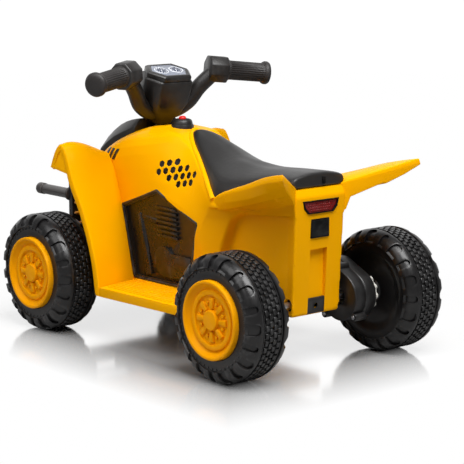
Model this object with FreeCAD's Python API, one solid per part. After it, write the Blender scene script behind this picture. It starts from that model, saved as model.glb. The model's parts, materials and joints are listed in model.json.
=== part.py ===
import FreeCAD, Part
import math
import os

# Kids quad bike, millimetres: +X forward, +Y left, +Z up, ground at zero

# Wheels
WHEELBASE = 477.5
TYRE_R = 100.0
TYRE_W = 76.0
TYRE_IN_Y = 127.0
LUG_COUNT = 20
LUG_HEIGHT = 4.0
LUG_SLOPE = 3.0
LUG_BAND = 20.0
SHOULDER_W = 4.0
SIDEWALL_BAND = 8.0
DISH_DEPTH = 8.0
SIDEWALL_DROP = 9.0
RIM_R = 61.0
RIM_PROUD = 7.0
RIM_SEAT_DEPTH = 14.0
RIM_STEP_R = 48.0
RIM_RING_R = 38.0
HUB_CAP_R = 15.0
HUB_BOSS_R = 14.0
HUB_BOSS_PROUD = 8.0
STUD_COUNT = 8
STUD_R = 4.5
DISC_SIDES = 40
AXLE_D = 10.0
RUN_CLEAR = 0.05
SIDE_GAP = 0.3

# Body shell
WALL = 3.0
SILL_Z = 76.0
TAIL_FOOT_Z = 84.0
PAN_HALF_W = 41.0
PAN_STEP_X = -60.0
PAN_RISE_X = -150.0
PAN_OVERHANG = 3.75
PAN_REAR_Z = 85.0
AXLE_POST_FORE = 22.0
PAN_RAIL = 14.0
RIM_CLEAR = 0.2
TAIL_TOP_X = -260.0
TAIL_FOOT_X = -250.0
TAIL_TOP_Z = 271.0
NOSE_X = 238.0
CHANNEL_W = 36.0
CHANNEL_TOP_Z = 187.0
CHANNEL_DEPTH = 3.5
WELL_Y = 57.0
SEAT_FRONT_X = 42.0
SEAT_FRONT_Z = 343.0
SEAT_CORNER_X = -99.0
SEAT_CORNER_Z = 256.0
SEAT_REST_X = -200.0
SEAT_REST_Z = 283.0
SEAT_BACK_X = -262.0
SEAT_BACK_Z = 285.0
LAMP_DEPTH = 10.0
BEZEL_W = 3.0
VENT_R = 5.6
VENT_PITCH_X = -14.3
VENT_PITCH_Z = 2.75
VENT_ROW_X = -3.5
VENT_ROW_Z = -11.83
VENT_START_X = 51.2
VENT_START_Z = 293.7

# Front fenders and footrests
FENDER_WALL = 3.0
FENDER_FLANGE = 12.0
FENDER_OUT_Y = 178.0
FOOT_TOP_Z = 91.0
FOOT_DEPTH = 15.0
FOOT_OUT_Y = 160.0
FOOT_REAR_X = -108.0
FOOT_RIB_COUNT = 10
FOOT_RIB_H = 1.2
FOOT_RIB_W = 2.2

# Steering
RAKE_DEG = 18.0
COLUMN_X = 148.0
COLUMN_Z = 347.0
COLUMN_D = 12.0
KINGPIN_Y = 95.0
KINGPIN_D = 10.0
STEER_ARM = 40.0
TIE_Z = 97.0
TIE_H = 6.0
TIE_PIN_D = 6.0
TIE_EYE_R = 9.0
CRANK_PIN_CLEAR = 1.6
CONSOLE_Z = 441.0
GRIP_R = 16.0
GRIP_FLANGE_R = 20.0
CLAMP_R = 24.0
CLAMP_L = 34.0
GRIP_RIBS = 14
GRIP_RIB_H = 1.5
CLAMP_Y = 97.0
CLAMP_X = 107.0
CLAMP_Z = 438.0
GRIP_END_X = 74.5
GRIP_END_Y = 187.0
GRIP_END_Z = 428.5
ARM_TUBE_R = 14.0
ELBOW_X = 129.0
ELBOW_Y = 50.0
ELBOW_Z = 384.0

DIAL = (-22, 23, 35, 21)
DIAL_FLOOR = -1.5

# Front axle frame, springs and horns
BEAM_BACK = 14.0
BEAM_FORE = 26.0
BEAM_Z0 = 58.0
BEAM_Z1 = 70.0
LOW_ARM_Z1 = 84.0
MID_ARM_Z0 = 140.0
MID_ARM_Z1 = 150.0
TOP_ARM_Z0 = 228.0
TOP_ARM_Z1 = 240.0
BRACKET_TOP_Z = 258.0
ARM_R = 14.0
ARM_SIDES = 12
SPRING_R = 12.5
WIRE_D = 5.0
WIRE_SIDES = 4
SPRING_BEND = 6.0
SPRING_TURNS = 4
HORN_R = 9.0
HORN_SIDES = 20
HORN_Z = 222.0
HORN_TIP_X = 362.0
HORN_CAP = 16.0
GRILLE_FORE = 13.0
GRILLE_T = 5.0
GRILLE_TOP_Z = 213.0
GRILLE_SLOTS = 6

# Drive
GEAR_TEETH = ((9, 27, 1.25), (10, 30, 1.5), (10, 28, 2.25))
GEARBOX_IN_Y = -60.0
GEARBOX_OUT_Y = -106.0
GEARBOX_R = 58.0
GEARBOX_WALL = 2.5
CASE_SIDES = 32
MOTOR_SHAFT_R = 1.6
MOTOR_R = 15.0
MOTOR_L = 46.0
PIN_D = 4.0
BOSS_WALL = 4.0
AXLE_POST_Y0 = 28.0
AXLE_POST_Y1 = 41.0
AXLE_EYE_R = 8.5
BATTERY_L = 106.0
BATTERY_W = 47.0
BATTERY_H = 70.0

# Start button
POD_X = 81.0
POD_H = 13.0
BUTTON_R = 6.5
BUTTON_TRAVEL = 3.0
BUTTON_CLEAR = 0.15
BUTTON_SIDES = 16

FRONT_X = WHEELBASE / 2
PAN_FRONT_X = FRONT_X - BEAM_BACK
REAR_X = -WHEELBASE / 2
PAN_REAR_X = REAR_X - PAN_OVERHANG
AXLE_R = AXLE_D / 2
BORE_R = AXLE_R + RUN_CLEAR
ORIGIN_X = (HORN_TIP_X + REAR_X - TYRE_R) / 2
RAKE = math.radians(RAKE_DEG)
FLAT_TOL = 1e-7
UP_AXIS = FreeCAD.Vector(-math.sin(RAKE), 0, math.cos(RAKE))
FORE_AXIS = FreeCAD.Vector(math.cos(RAKE), 0, math.sin(RAKE))


def v(x, y, z):
    return FreeCAD.Vector(x, y, z)


def box(x0, x1, y0, y1, z0, z1):
    return Part.makeBox(x1 - x0, y1 - y0, z1 - z0, v(x0, y0, z0))


def rod(start, end, radius):
    return Part.makeCylinder(radius, (end - start).Length, start, end - start)


def face_of(points):
    return Part.Face(Part.makePolygon(points + [points[0]]))


def prism(points, path):
    return face_of(points).extrude(path)


# One flat panel, or two along the shorter diagonal where its corners leave their plane
def panel(a, b, c, d):
    normal = (c - a).cross(d - b)
    if abs((b - a).dot(normal)) < FLAT_TOL * normal.Length:
        return [face_of([a, b, c, d])]
    if (c - a).Length <= (d - b).Length:
        return [face_of([a, b, c]), face_of([a, c, d])]
    return [face_of([a, b, d]), face_of([b, c, d])]


# Solid skinned with flat panels from section to section
def loft(sections):
    faces = [face_of(sections[0]), face_of(sections[-1])]
    for low, high in zip(sections, sections[1:]):
        for k in range(len(low)):
            m = (k + 1) % len(low)
            faces += panel(low[k], low[m], high[m], high[k])
    shell = Part.makeShell(faces)
    shell.sewShape()
    solid = Part.makeSolid(shell)
    if solid.Volume < 0:
        solid.reverse()
    return solid


# Ring of points about the Y axis, whose radii repeat round it
def ring_about_y(width, radii, count):
    points = []
    sides = count * len(radii)
    for k in range(sides):
        a = 2 * math.pi * k / sides - math.pi / 2
        r = radii[k % len(radii)]
        points.append(v(r * math.cos(a), width, r * math.sin(a)))
    return points


# Bar with flat sides
def flat_rod(start, end, radius, sides):
    axis = end - start
    turn = FreeCAD.Rotation(v(0, 0, 1), axis)
    points = []
    for k in range(sides):
        a = 2 * math.pi * (k + 0.5) / sides
        points.append(start + turn.multVec(v(radius * math.cos(a), radius * math.sin(a), 0)))
    return prism(points, axis)


# Adds a section on the cubic curve half way between each two given ones
def smooth(sections):
    last = len(sections) - 1
    result = []
    for i in range(last):
        before = sections[i - 1] if i else None
        after = sections[i + 2] if i + 2 <= last else None
        middle = []
        for k, here in enumerate(sections[i]):
            there = sections[i + 1][k]
            p0 = before[k] if before else here * 2 - there
            p3 = after[k] if after else there * 2 - here
            middle.append((here + there) * 0.5625 - (p0 + p3) * 0.0625)
        result += [sections[i], middle]
    return result + [sections[last]]


def fuse(shapes):
    return shapes[0].fuse(shapes[1:]).removeSplitter()


def mirrored(shape):
    return shape.mirror(v(0, 0, 0), v(0, 1, 0))


def write(name, shape):
    placed = shape.copy()
    placed.translate(v(-ORIGIN_X, 0, 0))
    placed.exportStep("parts/" + name + ".step")


def write_pair(name, left):
    write(name + "_left", left)
    write(name + "_right", mirrored(left))


def column_x(z):
    return COLUMN_X - (z - COLUMN_Z) * math.tan(RAKE)


def column_point(z):
    return v(column_x(z), 0, z)


# Body hull: half sections of the moulding at stations along its length
HULL = (
    (NOSE_X, (44, 212), (50, 230), (56, 252), (60, 272), (46, 297)),
    (200, (56, 170), (64, 205), (74, 245), (79, 293), (50, 315)),
    (165, (64, 122), (70, 172), (78, 240), (81, 307), (50, 331)),
    (131, (69, SILL_Z), (71, 150), (78, 240), (75, 316), (42, 343)),
    (90, (67, SILL_Z), (71, 150), (78, 240), (68, 322), (34, 348)),
    (50, (65, SILL_Z), (71, 150), (79, 240), (56, 328), (28, 349)),
    (10, (63, SILL_Z), (72, 150), (80, 238), (40, 325), (16, 342)),
    (-28, (62, SILL_Z), (74, 150), (80, 226), (55, 301), (24, 326)),
    (-65, (61, SILL_Z), (74, 150), (80, 212), (71, 277), (32, 308)),
    (-105, (60, SILL_Z), (74, 150), (80, 215), (82, 253), (40, 296)),
    (-145, (57, 77), (66, 150), (70, 235), (62, 268), (42, 290)),
    (-190, (54, 79), (56, 150), (WELL_Y, 262), (54, 284), (44, 292)),
    (-300, (46, 85), (49, 150), (52, 268), (50, 284), (44, 290)),
)


def hull_section(station, inset, drop):
    x = station[0]
    half = [(y - inset, z) for y, z in station[1:]]
    low = (half[0][0], half[0][1] - drop)
    top = (half[4][0], half[4][1] - inset)
    shoulder = (half[3][0], half[3][1] - inset * 0.4)
    side = [low, half[1], half[2], shoulder, top]
    left = [v(x, y, z) for y, z in side]
    right = [v(x, -y, z) for y, z in reversed(side)]
    return left + right


def hull(inset, drop):
    return loft(smooth([hull_section(s, inset, drop) for s in HULL]))


# Seat line: the bent surface on which the seat lies
SEAT_LINE = (
    (SEAT_FRONT_X, SEAT_FRONT_Z),
    (SEAT_CORNER_X, SEAT_CORNER_Z),
    (SEAT_REST_X, SEAT_REST_Z),
    (SEAT_BACK_X - 60, SEAT_BACK_Z),
)


def above_seat_line(offset):
    half = 120.0
    top = 460.0
    line = [v(x, -half, z + offset) for x, z in SEAT_LINE]
    roof = [v(SEAT_LINE[3][0], -half, top), v(SEAT_LINE[0][0], -half, top)]
    return prism(line + roof, v(0, 2 * half, 0))


def behind_tail(inset):
    slope = (TAIL_TOP_X - TAIL_FOOT_X) / (TAIL_TOP_Z - TAIL_FOOT_Z)
    z0 = 0.0
    z1 = 400.0
    x0 = TAIL_FOOT_X + (z0 - TAIL_FOOT_Z) * slope + inset
    x1 = TAIL_FOOT_X + (z1 - TAIL_FOOT_Z) * slope + inset
    far = -420.0
    side = [v(x0, -200, z0), v(x1, -200, z1), v(far, -200, z1), v(far, -200, z0)]
    return prism(side, v(0, 400, 0))


# Wheel well: level sections between the ridge on the flank and the arch on the inner wall
WELL = (
    (30, -8, -50),
    (147, -40, -80),
    (209, -61, -106),
    (228, -78, -122),
    (240, -88, -150),
)


def wheel_well():
    far_x = -420.0
    far_y = 200.0
    sections = []
    for z, ridge_x, arch_x in WELL:
        sections.append([
            v(ridge_x, 82, z),
            v(arch_x, WELL_Y, z),
            v(far_x, WELL_Y - 2, z),
            v(far_x, far_y, z),
            v(ridge_x, far_y, z),
        ])
    return loft(sections)


# Rear wing: wedge sections in upright planes that swing towards the tip
WING = (
    (-84, 0.0, 226, (71, 231), (80, 238), 3, 240),
    (-99, 0.0, 228, (76, 236), (83, 255), 3, 250),
    (-122, -0.1, 230, (81, 241), (89, 268), 3, 262),
    (-192, -0.35, 234, (90, 264), (112, 293), 4, 283),
    (-236, -0.55, 236, (97, 278), (132, 313), 6, 286),
    (-262, -0.8, 240, (100, 286), (143, 323), 8, 284),
)
WING_FILLET_Y = 8.0
WING_FILLET_RISE = 0.6


def wing_section(station):
    x0, swing, low_z, lip, ridge, edge, root_z = station
    inner = WELL_Y - 14

    def at(y, z):
        return v(x0 + swing * (y - WELL_Y), y, z)

    return [
        at(inner, low_z),
        at(WELL_Y - 1, low_z),
        at(WELL_Y + WING_FILLET_Y, low_z + WING_FILLET_RISE * (lip[1] - low_z)),
        at(*lip),
        at(ridge[0], ridge[1] - edge),
        at(ridge[0] - 2, ridge[1]),
        at(inner, root_z),
    ]


def rear_wing():
    return loft(smooth([wing_section(s) for s in WING]))


# Front fender: strips from the footrest up the leg shield and over the wheel
FENDER = (
    ((131, 60, SILL_Z), (97, 165, SILL_Z), (1.0, 0.0)),
    ((141, 60, 137), (103, 169, 140), (1.0, -0.05)),
    ((153, 62, 210), (126, 172, 208), (1.0, -0.2)),
    ((163, 66, 262), (150, FENDER_OUT_Y, 264), (0.9, -0.45)),
    ((173, 68, 288), (166, FENDER_OUT_Y, 304), (0.6, -0.8)),
    ((187, 68, 297), (184, FENDER_OUT_Y, 324), (0.0, -1.0)),
    ((206, 60, 284), (203, FENDER_OUT_Y, 309), (-0.6, -0.8)),
    ((222, 46, 250), (217, FENDER_OUT_Y - 2, 282), (-0.9, -0.45)),
)


def fender_section(station):
    inner = v(*station[0])
    outer = v(*station[1])
    along = (outer - inner).normalize()
    down = v(station[2][0], 0, station[2][1]).normalize()
    edge = outer - along * FENDER_WALL
    return [
        inner,
        outer,
        outer + down * FENDER_FLANGE,
        edge + down * FENDER_FLANGE,
        edge + down * FENDER_WALL,
        inner + down * FENDER_WALL,
    ]


def front_fender(hull_solid):
    sheet = loft(smooth([fender_section(s) for s in FENDER]))
    return sheet.cut(hull_solid)


def footrest(hull_solid, fender):
    z0 = FOOT_TOP_Z - FOOT_DEPTH

    def outline(inset, z):
        return [
            v(124 - inset, 58, z),
            v(97 - inset, FOOT_OUT_Y + 5 - inset, z),
            v(FOOT_REAR_X + 14 + inset, FOOT_OUT_Y - 4 - inset, z),
            v(FOOT_REAR_X + inset, FOOT_OUT_Y - 16 - inset, z),
            v(FOOT_REAR_X + inset, 56, z),
        ]

    tray = prism(outline(0, z0), v(0, 0, FOOT_DEPTH))
    hollow = prism(outline(WALL, z0), v(0, 0, FOOT_DEPTH - WALL))
    tray = tray.cut(hollow)
    span = FOOT_OUT_Y - 12 - 74
    ribs = []
    for i in range(FOOT_RIB_COUNT):
        y = 74 + span * i / (FOOT_RIB_COUNT - 1)
        top = FOOT_TOP_Z + FOOT_RIB_H
        ribs.append(box(FOOT_REAR_X + 6, 118, y, y + FOOT_RIB_W, FOOT_TOP_Z - 1, top))
    field = prism(outline(6, FOOT_TOP_Z - 2), v(0, 0, 10))
    ribs = [rib.common(field) for rib in ribs]
    return fuse([tray] + ribs).cut(hull_solid).cut(fender)


# Engine opening in the flank and the cover that fills it
OPENING = ((127, 93), (149, 216), (54, 250), (-54, 208), (-35, 146), (-20, 93))


def opening_prism(inset, y0, y1):
    wire = Part.makePolygon([v(x, 0, z) for x, z in OPENING + OPENING[:1]])
    face = Part.Face(wire)
    if inset:
        face = Part.Face(face.makeOffset2D(-inset).Wires[0])
    face.translate(v(0, y0, 0))
    return face.extrude(v(0, y1 - y0, 0))


def engine_cover():
    plate = opening_prism(SIDE_GAP, 48, 95).common(hull(7.0, 0))
    plate = plate.cut(hull(10.0, 0))
    rim = opening_prism(SIDE_GAP, 48, 95).cut(opening_prism(5.0, 48, 95))
    rim = rim.common(hull(1.2, 0)).cut(hull(10.0, 0))
    relief = []
    for i in range(7):
        z = 172 + i * 8
        relief.append(box(6, 62, 50, 95, z, z + 4))
    relief.append(flat_rod(v(48, 50, 130), v(48, 95, 130), 26, 20))
    relief.append(box(-26, 40, 50, 95, 104, 146))
    relief.append(flat_rod(v(92, 62, 102), v(112, 62, 205), 9, 8))
    relief.append(flat_rod(v(108, 62, 200), v(64, 64, 196), 7, 8))
    block = fuse(relief).common(opening_prism(8.0, 48, 95))
    block = block.common(hull(2.5, 0)).cut(hull(9.0, 0))
    return fuse([plate, rim, block])


def vents():
    cells = []
    x = VENT_START_X
    z = VENT_START_Z
    shift = (-0.5, 1.5, 1.5, 0)
    for row, count in enumerate((3, 5, 5, 3)):
        for i in range(count):
            centre = v(x + i * VENT_PITCH_X, 40, z + i * VENT_PITCH_Z)
            points = []
            for k in range(6):
                a = math.radians(30 + 60 * k)
                points.append(centre + v(VENT_R * math.cos(a), 0, VENT_R * math.sin(a)))
            cells.append(prism(points, v(0, 60, 0)))
        x += shift[row] * VENT_PITCH_X + VENT_ROW_X
        z += shift[row] * VENT_PITCH_Z + VENT_ROW_Z
    return cells


# Tail lamp outline on the tail face
LAMP = ((38, 264), (-38, 264), (-15, 243), (15, 243))


def lamp_prism(inset, x0, x1):
    face = face_of([v(0, y, z) for y, z in LAMP])
    if inset:
        face = Part.Face(face.makeOffset2D(-inset).Wires[0])
    face.translate(v(x0, 0, 0))
    return face.extrude(v(x1 - x0, 0, 0))


def tail_lamp_bezel():
    block = lamp_prism(SIDE_GAP, TAIL_TOP_X - 1.5, TAIL_TOP_X + LAMP_DEPTH)
    return block.cut(lamp_prism(BEZEL_W, TAIL_TOP_X - 40, TAIL_TOP_X + 4))


def tail_channel(skin):
    half = CHANNEL_W / 2 + skin
    band = box(-400, -200, -half, half, 0, CHANNEL_TOP_Z + skin)
    return band.common(behind_tail(CHANNEL_DEPTH + skin))


def body_shell(hull_solid, wings):
    well = wheel_well()
    wells = [well, mirrored(well)]
    outer = hull_solid.cut(wells).cut(behind_tail(0)).cut(above_seat_line(0))
    outer = fuse([outer] + wings)
    core = hull(WALL, 40).cut(behind_tail(WALL)).cut(above_seat_line(-WALL))
    core = core.cut(tail_channel(WALL))
    core = core.cut(lamp_prism(-WALL, TAIL_TOP_X - 40, TAIL_TOP_X + LAMP_DEPTH + WALL))
    core = core.cut(box(NOSE_X - WALL, NOSE_X + 1, -100, 100, 0, 400))
    for side, cut in ((1, well), (-1, wells[1])):
        grown = cut.copy()
        grown.translate(v(WALL, -WALL * side, 0))
        core = core.cut(grown)
    shell = outer.cut(core)
    left_cuts = [opening_prism(0, 40, 100)] + vents()
    cuts = left_cuts + [mirrored(c) for c in left_cuts]
    cuts.append(tail_channel(0))
    cuts.append(lamp_prism(0, TAIL_TOP_X - 40, TAIL_TOP_X + LAMP_DEPTH))
    cuts.append(rod(v(REAR_X, -100, TYRE_R), v(REAR_X, 100, TYRE_R), AXLE_R + BOSS_WALL + 1))
    cuts.append(rod(column_point(300), column_point(400), COLUMN_D / 2 + 8))
    cuts.append(motor_rod(MOTOR_R + 1.5))
    return shell.cut(cuts)


# Seat: crowned sections along its length
SEAT = (
    (SEAT_FRONT_X - SIDE_GAP, 8, 340, 5, 344, 345),
    (34, 17, 336, 10, 346, 348),
    (13, 30, 323, 18, 341, 344.5),
    (-21, 45, 303, 26, 326, 331),
    (-59, 63, 279, 36, 308, 314),
    (-99, 82, 252, 44, 298, 307),
    (-140, 78, 256, 50, 295, 303),
    (-190, 66, 266, 50, 299, 305),
    (-235, 58, 274, 48, 301, 307),
    (-254, 55, 278, 44, 299, 305),
    (SEAT_BACK_X, 53, 281, 40, 294, 300),
)


# The section is a crowned arch: flat on top, rounded at the shoulder
def seat_section(station):
    x, edge_y, edge_z, crown_y, crown_z, top_z = station
    side = (
        (edge_y, edge_z),
        (edge_y * 0.7 + crown_y * 0.3 + 2.5, edge_z * 0.55 + crown_z * 0.45),
        (edge_y * 0.25 + crown_y * 0.75 + 2.0, edge_z * 0.15 + crown_z * 0.85),
        (crown_y, crown_z),
        (crown_y * 0.6, crown_z * 0.25 + top_z * 0.75),
        (crown_y * 0.2, top_z),
    )
    left = [v(x, y, z) for y, z in side]
    right = [v(x, -y, z) for y, z in reversed(side)]
    return left + right


def seat(wings):
    block = loft(smooth([seat_section(s) for s in SEAT]))
    return block.common(above_seat_line(0)).cut(wings)


# Nose cover with the headlamps
COWL = (
    (262, (34, 268), (38, 290), (26, 300)),
    (244, (52, 262), (52, 300), (34, 320)),
    (205, (54, 300), (53, 324), (36, 344)),
    (172, (54, 315), (52, 337), (38, 355)),
    (150, (52, 325), (48, 346), (36, 359)),
)


def cowl_section(station):
    x = station[0]
    left = [v(x, y, z) for y, z in station[1:]]
    right = [v(x, -y, z) for y, z in reversed(station[1:])]
    return left + right


def nose_cover(hull_solid):
    cowl = loft(smooth([cowl_section(s) for s in COWL]))
    mask = box(NOSE_X, NOSE_X + 10, -46, 46, 214, 292)
    cover = fuse([cowl, mask]).cut(hull_solid)
    cover = cover.cut(rod(column_point(300), column_point(400), COLUMN_D / 2 + 16))
    for side in (-1, 1):
        cover = cover.cut(headlamp(side, 0))
    return cover


def headlamp(side, gap):
    y = side * 26
    return rod(v(NOSE_X + 6, y, 246), v(NOSE_X + 13, y, 246), 15 - gap)


# Grille plate that stands on the front beam between the brackets
def front_grille():
    x = FRONT_X + GRILLE_FORE
    half = KINGPIN_Y - 11
    plate = box(x, x + GRILLE_T, -half, half, BEAM_Z1, GRILLE_TOP_Z)
    slots = []
    for i in range(GRILLE_SLOTS):
        z = BEAM_Z1 + 16 + i * 22
        slots.append(box(x - 1, x + GRILLE_T + 1, -half + 14, half - 14, z, z + 11))
    return plate.cut(slots)


# Start pod and button
def pod_top_z():
    return HULL[4][5][1] + POD_H - 2


def start_pod(hull_solid):
    top = pod_top_z()
    low = top - POD_H - 6
    sections = []
    for z, half_x, half_y in ((low, 21, 19), (top - 4, 18, 16), (top, 12, 11)):
        ring = []
        for k in range(8):
            a = math.radians(22.5 + 45 * k)
            ring.append(v(POD_X + half_x * math.cos(a), half_y * math.sin(a), z))
        sections.append(ring)
    pod = loft(sections).cut(hull_solid)
    bore = flat_rod(v(POD_X, 0, top - 9), v(POD_X, 0, top + 5), BUTTON_R + BUTTON_CLEAR, BUTTON_SIDES)
    return pod.cut(bore)


def start_button():
    top = pod_top_z()
    foot = top - 9 + BUTTON_TRAVEL + 0.4
    profile = (
        (BUTTON_R, foot),
        (BUTTON_R, top + 2),
        (BUTTON_R * 0.7, top + 4.4),
        (BUTTON_R * 0.3, top + 5.2),
    )
    sections = []
    for r, z in profile:
        ring = []
        for k in range(BUTTON_SIDES):
            a = 2 * math.pi * (k + 0.5) / BUTTON_SIDES
            ring.append(v(POD_X + r * math.cos(a), r * math.sin(a), z))
        sections.append(ring)
    return loft(sections)


# Chassis pan, which carries the shell on its rim, and the rear axle blocks
def chassis_pan():
    half = PAN_HALF_W
    low = (
        (PAN_FRONT_X, BEAM_Z0),
        (PAN_STEP_X, BEAM_Z0),
        (PAN_RISE_X, PAN_REAR_Z),
        (PAN_REAR_X, PAN_REAR_Z),
    )
    rail_z = SILL_Z + PAN_RAIL
    side = low + ((PAN_REAR_X, rail_z), (PAN_FRONT_X, rail_z))
    outer = prism([v(x, -half, z) for x, z in side], v(0, 2 * half, 0))
    inner = [v(x, -half + WALL, z + WALL) for x, z in low]
    inner[0].x -= WALL
    inner[3].x += WALL
    inner += [v(PAN_REAR_X + WALL, -half + WALL, 200), v(PAN_FRONT_X - WALL, -half + WALL, 200)]
    tray = outer.cut(prism(inner, v(0, 2 * (half - WALL), 0)))
    rim = box(-100, 128, -62, 62, SILL_Z - 5, SILL_Z - RIM_CLEAR)
    rim = rim.cut(box(-242, 210, -half + 1, half - 1, 0, 200))
    blocks = []
    for y0, y1 in ((-AXLE_POST_Y1, -AXLE_POST_Y0), (AXLE_POST_Y0, AXLE_POST_Y1)):
        post = box(PAN_REAR_X, REAR_X + AXLE_POST_FORE, y0, y1, PAN_REAR_Z, TYRE_R)
        eye = rod(v(REAR_X, y0, TYRE_R), v(REAR_X, y1, TYRE_R), AXLE_EYE_R)
        blocks.append(fuse([post, eye]))
    pan = fuse([tray, rim] + blocks)
    return pan.cut(rod(v(REAR_X, -60, TYRE_R), v(REAR_X, 60, TYRE_R), BORE_R))


def tow_block():
    half = CHANNEL_W / 2 - SIDE_GAP
    block = box(-300, -200, -half, half, TAIL_FOOT_Z, 109)
    block = block.common(behind_tail(CHANNEL_DEPTH)).cut(behind_tail(0.5))
    return block.cut(rod(v(-300, 0, 96), v(-200, 0, 96), 4))


# Front axle frame with a bracket round each kingpin
def axle_frame():
    beam = box(FRONT_X - BEAM_BACK, FRONT_X + BEAM_FORE, -KINGPIN_Y, KINGPIN_Y, BEAM_Z0, BEAM_Z1)
    brackets = []
    for side in (-1, 1):
        y = side * KINGPIN_Y
        plate = box(FRONT_X + BEAM_FORE - 10, FRONT_X + BEAM_FORE, y - 11, y + 11, BEAM_Z0, BRACKET_TOP_Z)
        brackets.append(plate)
        levels = ((BEAM_Z0, LOW_ARM_Z1), (MID_ARM_Z0, MID_ARM_Z1), (TOP_ARM_Z0, TOP_ARM_Z1))
        for z0, z1 in levels:
            brackets.append(flat_rod(v(FRONT_X, y, z0), v(FRONT_X, y, z1), ARM_R, ARM_SIDES))
            brackets.append(box(FRONT_X, FRONT_X + BEAM_FORE - 5, y - 11, y + 11, z0, z1))
    frame = fuse([beam] + brackets)
    for side in (-1, 1):
        y = side * KINGPIN_Y
        hole = rod(v(FRONT_X, y, BEAM_Z0 + 1), v(FRONT_X, y, 300), KINGPIN_D / 2 + RUN_CLEAR)
        frame = frame.cut(hole)
    bore = rod(column_point(BEAM_Z0 - 10), column_point(BEAM_Z1 + 10), COLUMN_D / 2 + 3)
    return frame.cut(bore)


def column_bush(z_low, z_high, outer_r):
    ring = rod(column_point(z_low), column_point(z_high), outer_r)
    hole = rod(column_point(z_low - 9), column_point(z_high + 9), COLUMN_D / 2 + RUN_CLEAR)
    return ring.cut(hole)


# Front spring: a helix of half-turn biarcs whose ends run straight up and down
def arc_between(start, corner, end):
    half = (end - start).Length / 2
    reach = (corner - start).Length
    alpha = math.acos(half / reach)
    chord_mid = (start + end) * 0.5
    share = math.tan(alpha / 2) / math.tan(alpha)
    return Part.Arc(start, chord_mid + (corner - chord_mid) * share, end).toShape()


def biarc(p0, t0, p1, t1):
    gap = p1 - p0
    a = 2 * (t0.dot(t1) - 1)
    b = -2 * gap.dot(t0 + t1)
    c = gap.dot(gap)
    d = (-b - math.sqrt(b * b - 4 * a * c)) / (2 * a)
    q0 = p0 + t0 * d
    q1 = p1 - t1 * d
    joint = (q0 + q1) * 0.5
    return [arc_between(p0, q0, joint), arc_between(joint, q1, p1)]


def spring_wire():
    low = MID_ARM_Z1
    high = TOP_ARM_Z0
    lead = WIRE_D + SPRING_BEND
    rise = (high - low - 2 * lead) / SPRING_TURNS
    slope = math.atan(rise / (2 * math.pi * SPRING_R))
    centre = v(FRONT_X, KINGPIN_Y, 0)

    def point(turn):
        a = 2 * math.pi * turn
        return centre + v(SPRING_R * math.cos(a), SPRING_R * math.sin(a), low + lead + rise * turn)

    def tangent(turn):
        a = 2 * math.pi * turn
        flat = v(-math.sin(a), math.cos(a), 0) * math.cos(slope)
        return flat + v(0, 0, math.sin(slope))

    up = v(0, 0, 1)
    edges = []
    for k in range(SPRING_TURNS * 2):
        edges += biarc(point(k / 2), tangent(k / 2), point(k / 2 + 0.5), tangent(k / 2 + 0.5))
    reach = SPRING_BEND * math.tan(math.pi / 4 - slope / 2)
    first_corner = point(0) - tangent(0) * reach
    foot = first_corner - up * reach
    last = SPRING_TURNS
    last_corner = point(last) + tangent(last) * reach
    head = last_corner + up * reach
    start = v(foot.x, foot.y, low)
    end = v(head.x, head.y, high)
    edges.insert(0, arc_between(foot, first_corner, point(0)))
    edges.append(arc_between(point(last), last_corner, head))
    edges.insert(0, Part.LineSegment(start, foot).toShape())
    edges.append(Part.LineSegment(head, end).toShape())
    return Part.Wire(edges), start


def spring_gap(wire):
    points = wire.discretize(Distance=1.5)
    turn_steps = int(math.pi * SPRING_R / 1.5)
    least = 1000.0
    for i, p in enumerate(points):
        for q in points[i + turn_steps:]:
            least = min(least, p.distanceToPoint(q))
    return least - WIRE_D


def front_spring():
    wire, start = spring_wire()
    ring = []
    for k in range(WIRE_SIDES):
        a = 2 * math.pi * k / WIRE_SIDES
        ring.append(start + v(math.cos(a), math.sin(a), 0) * (WIRE_D / 2))
    section = Part.makePolygon(ring + ring[:1])
    print("spring gap to itself", round(spring_gap(wire), 2))
    return wire.makePipeShell([section], True, False)


# Knuckle: kingpin, wheel stub and steering arm
def knuckle():
    y = KINGPIN_Y
    pin = rod(v(FRONT_X, y, BEAM_Z0 + 2), v(FRONT_X, y, TOP_ARM_Z1 + SIDE_GAP), KINGPIN_D / 2)
    top = v(FRONT_X, y, TOP_ARM_Z1 + SIDE_GAP)
    head = flat_rod(top, top + v(0, 0, 5), KINGPIN_D / 2 + 3, 6)
    low = LOW_ARM_Z1 + SIDE_GAP
    high = MID_ARM_Z0 - SIDE_GAP
    barrel = flat_rod(v(FRONT_X, y, low), v(FRONT_X, y, high), ARM_R - 1, ARM_SIDES)
    hub_in = TYRE_IN_Y - HUB_BOSS_PROUD
    collar = flat_rod(v(FRONT_X, y, TYRE_R), v(FRONT_X, hub_in - SIDE_GAP, TYRE_R), AXLE_R + 4, ARM_SIDES)
    stub = rod(v(FRONT_X, y, TYRE_R), v(FRONT_X, stub_end_y(), TYRE_R), AXLE_R)
    arm_z = TIE_Z + TIE_H + SIDE_GAP
    arm = box(FRONT_X - STEER_ARM, FRONT_X, y - 6, y + 6, arm_z, arm_z + 8)
    eye_at = v(FRONT_X - STEER_ARM, y, arm_z)
    eye = flat_rod(eye_at, eye_at + v(0, 0, 8), TIE_EYE_R - 1, ARM_SIDES)
    tie_pin = rod(eye_at - v(0, 0, TIE_H + 2), eye_at, TIE_PIN_D / 2)
    return fuse([pin, head, barrel, collar, stub, arm, eye, tie_pin])


def stub_end_y():
    return TYRE_IN_Y + TYRE_W - RIM_SEAT_DEPTH + 11


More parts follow.
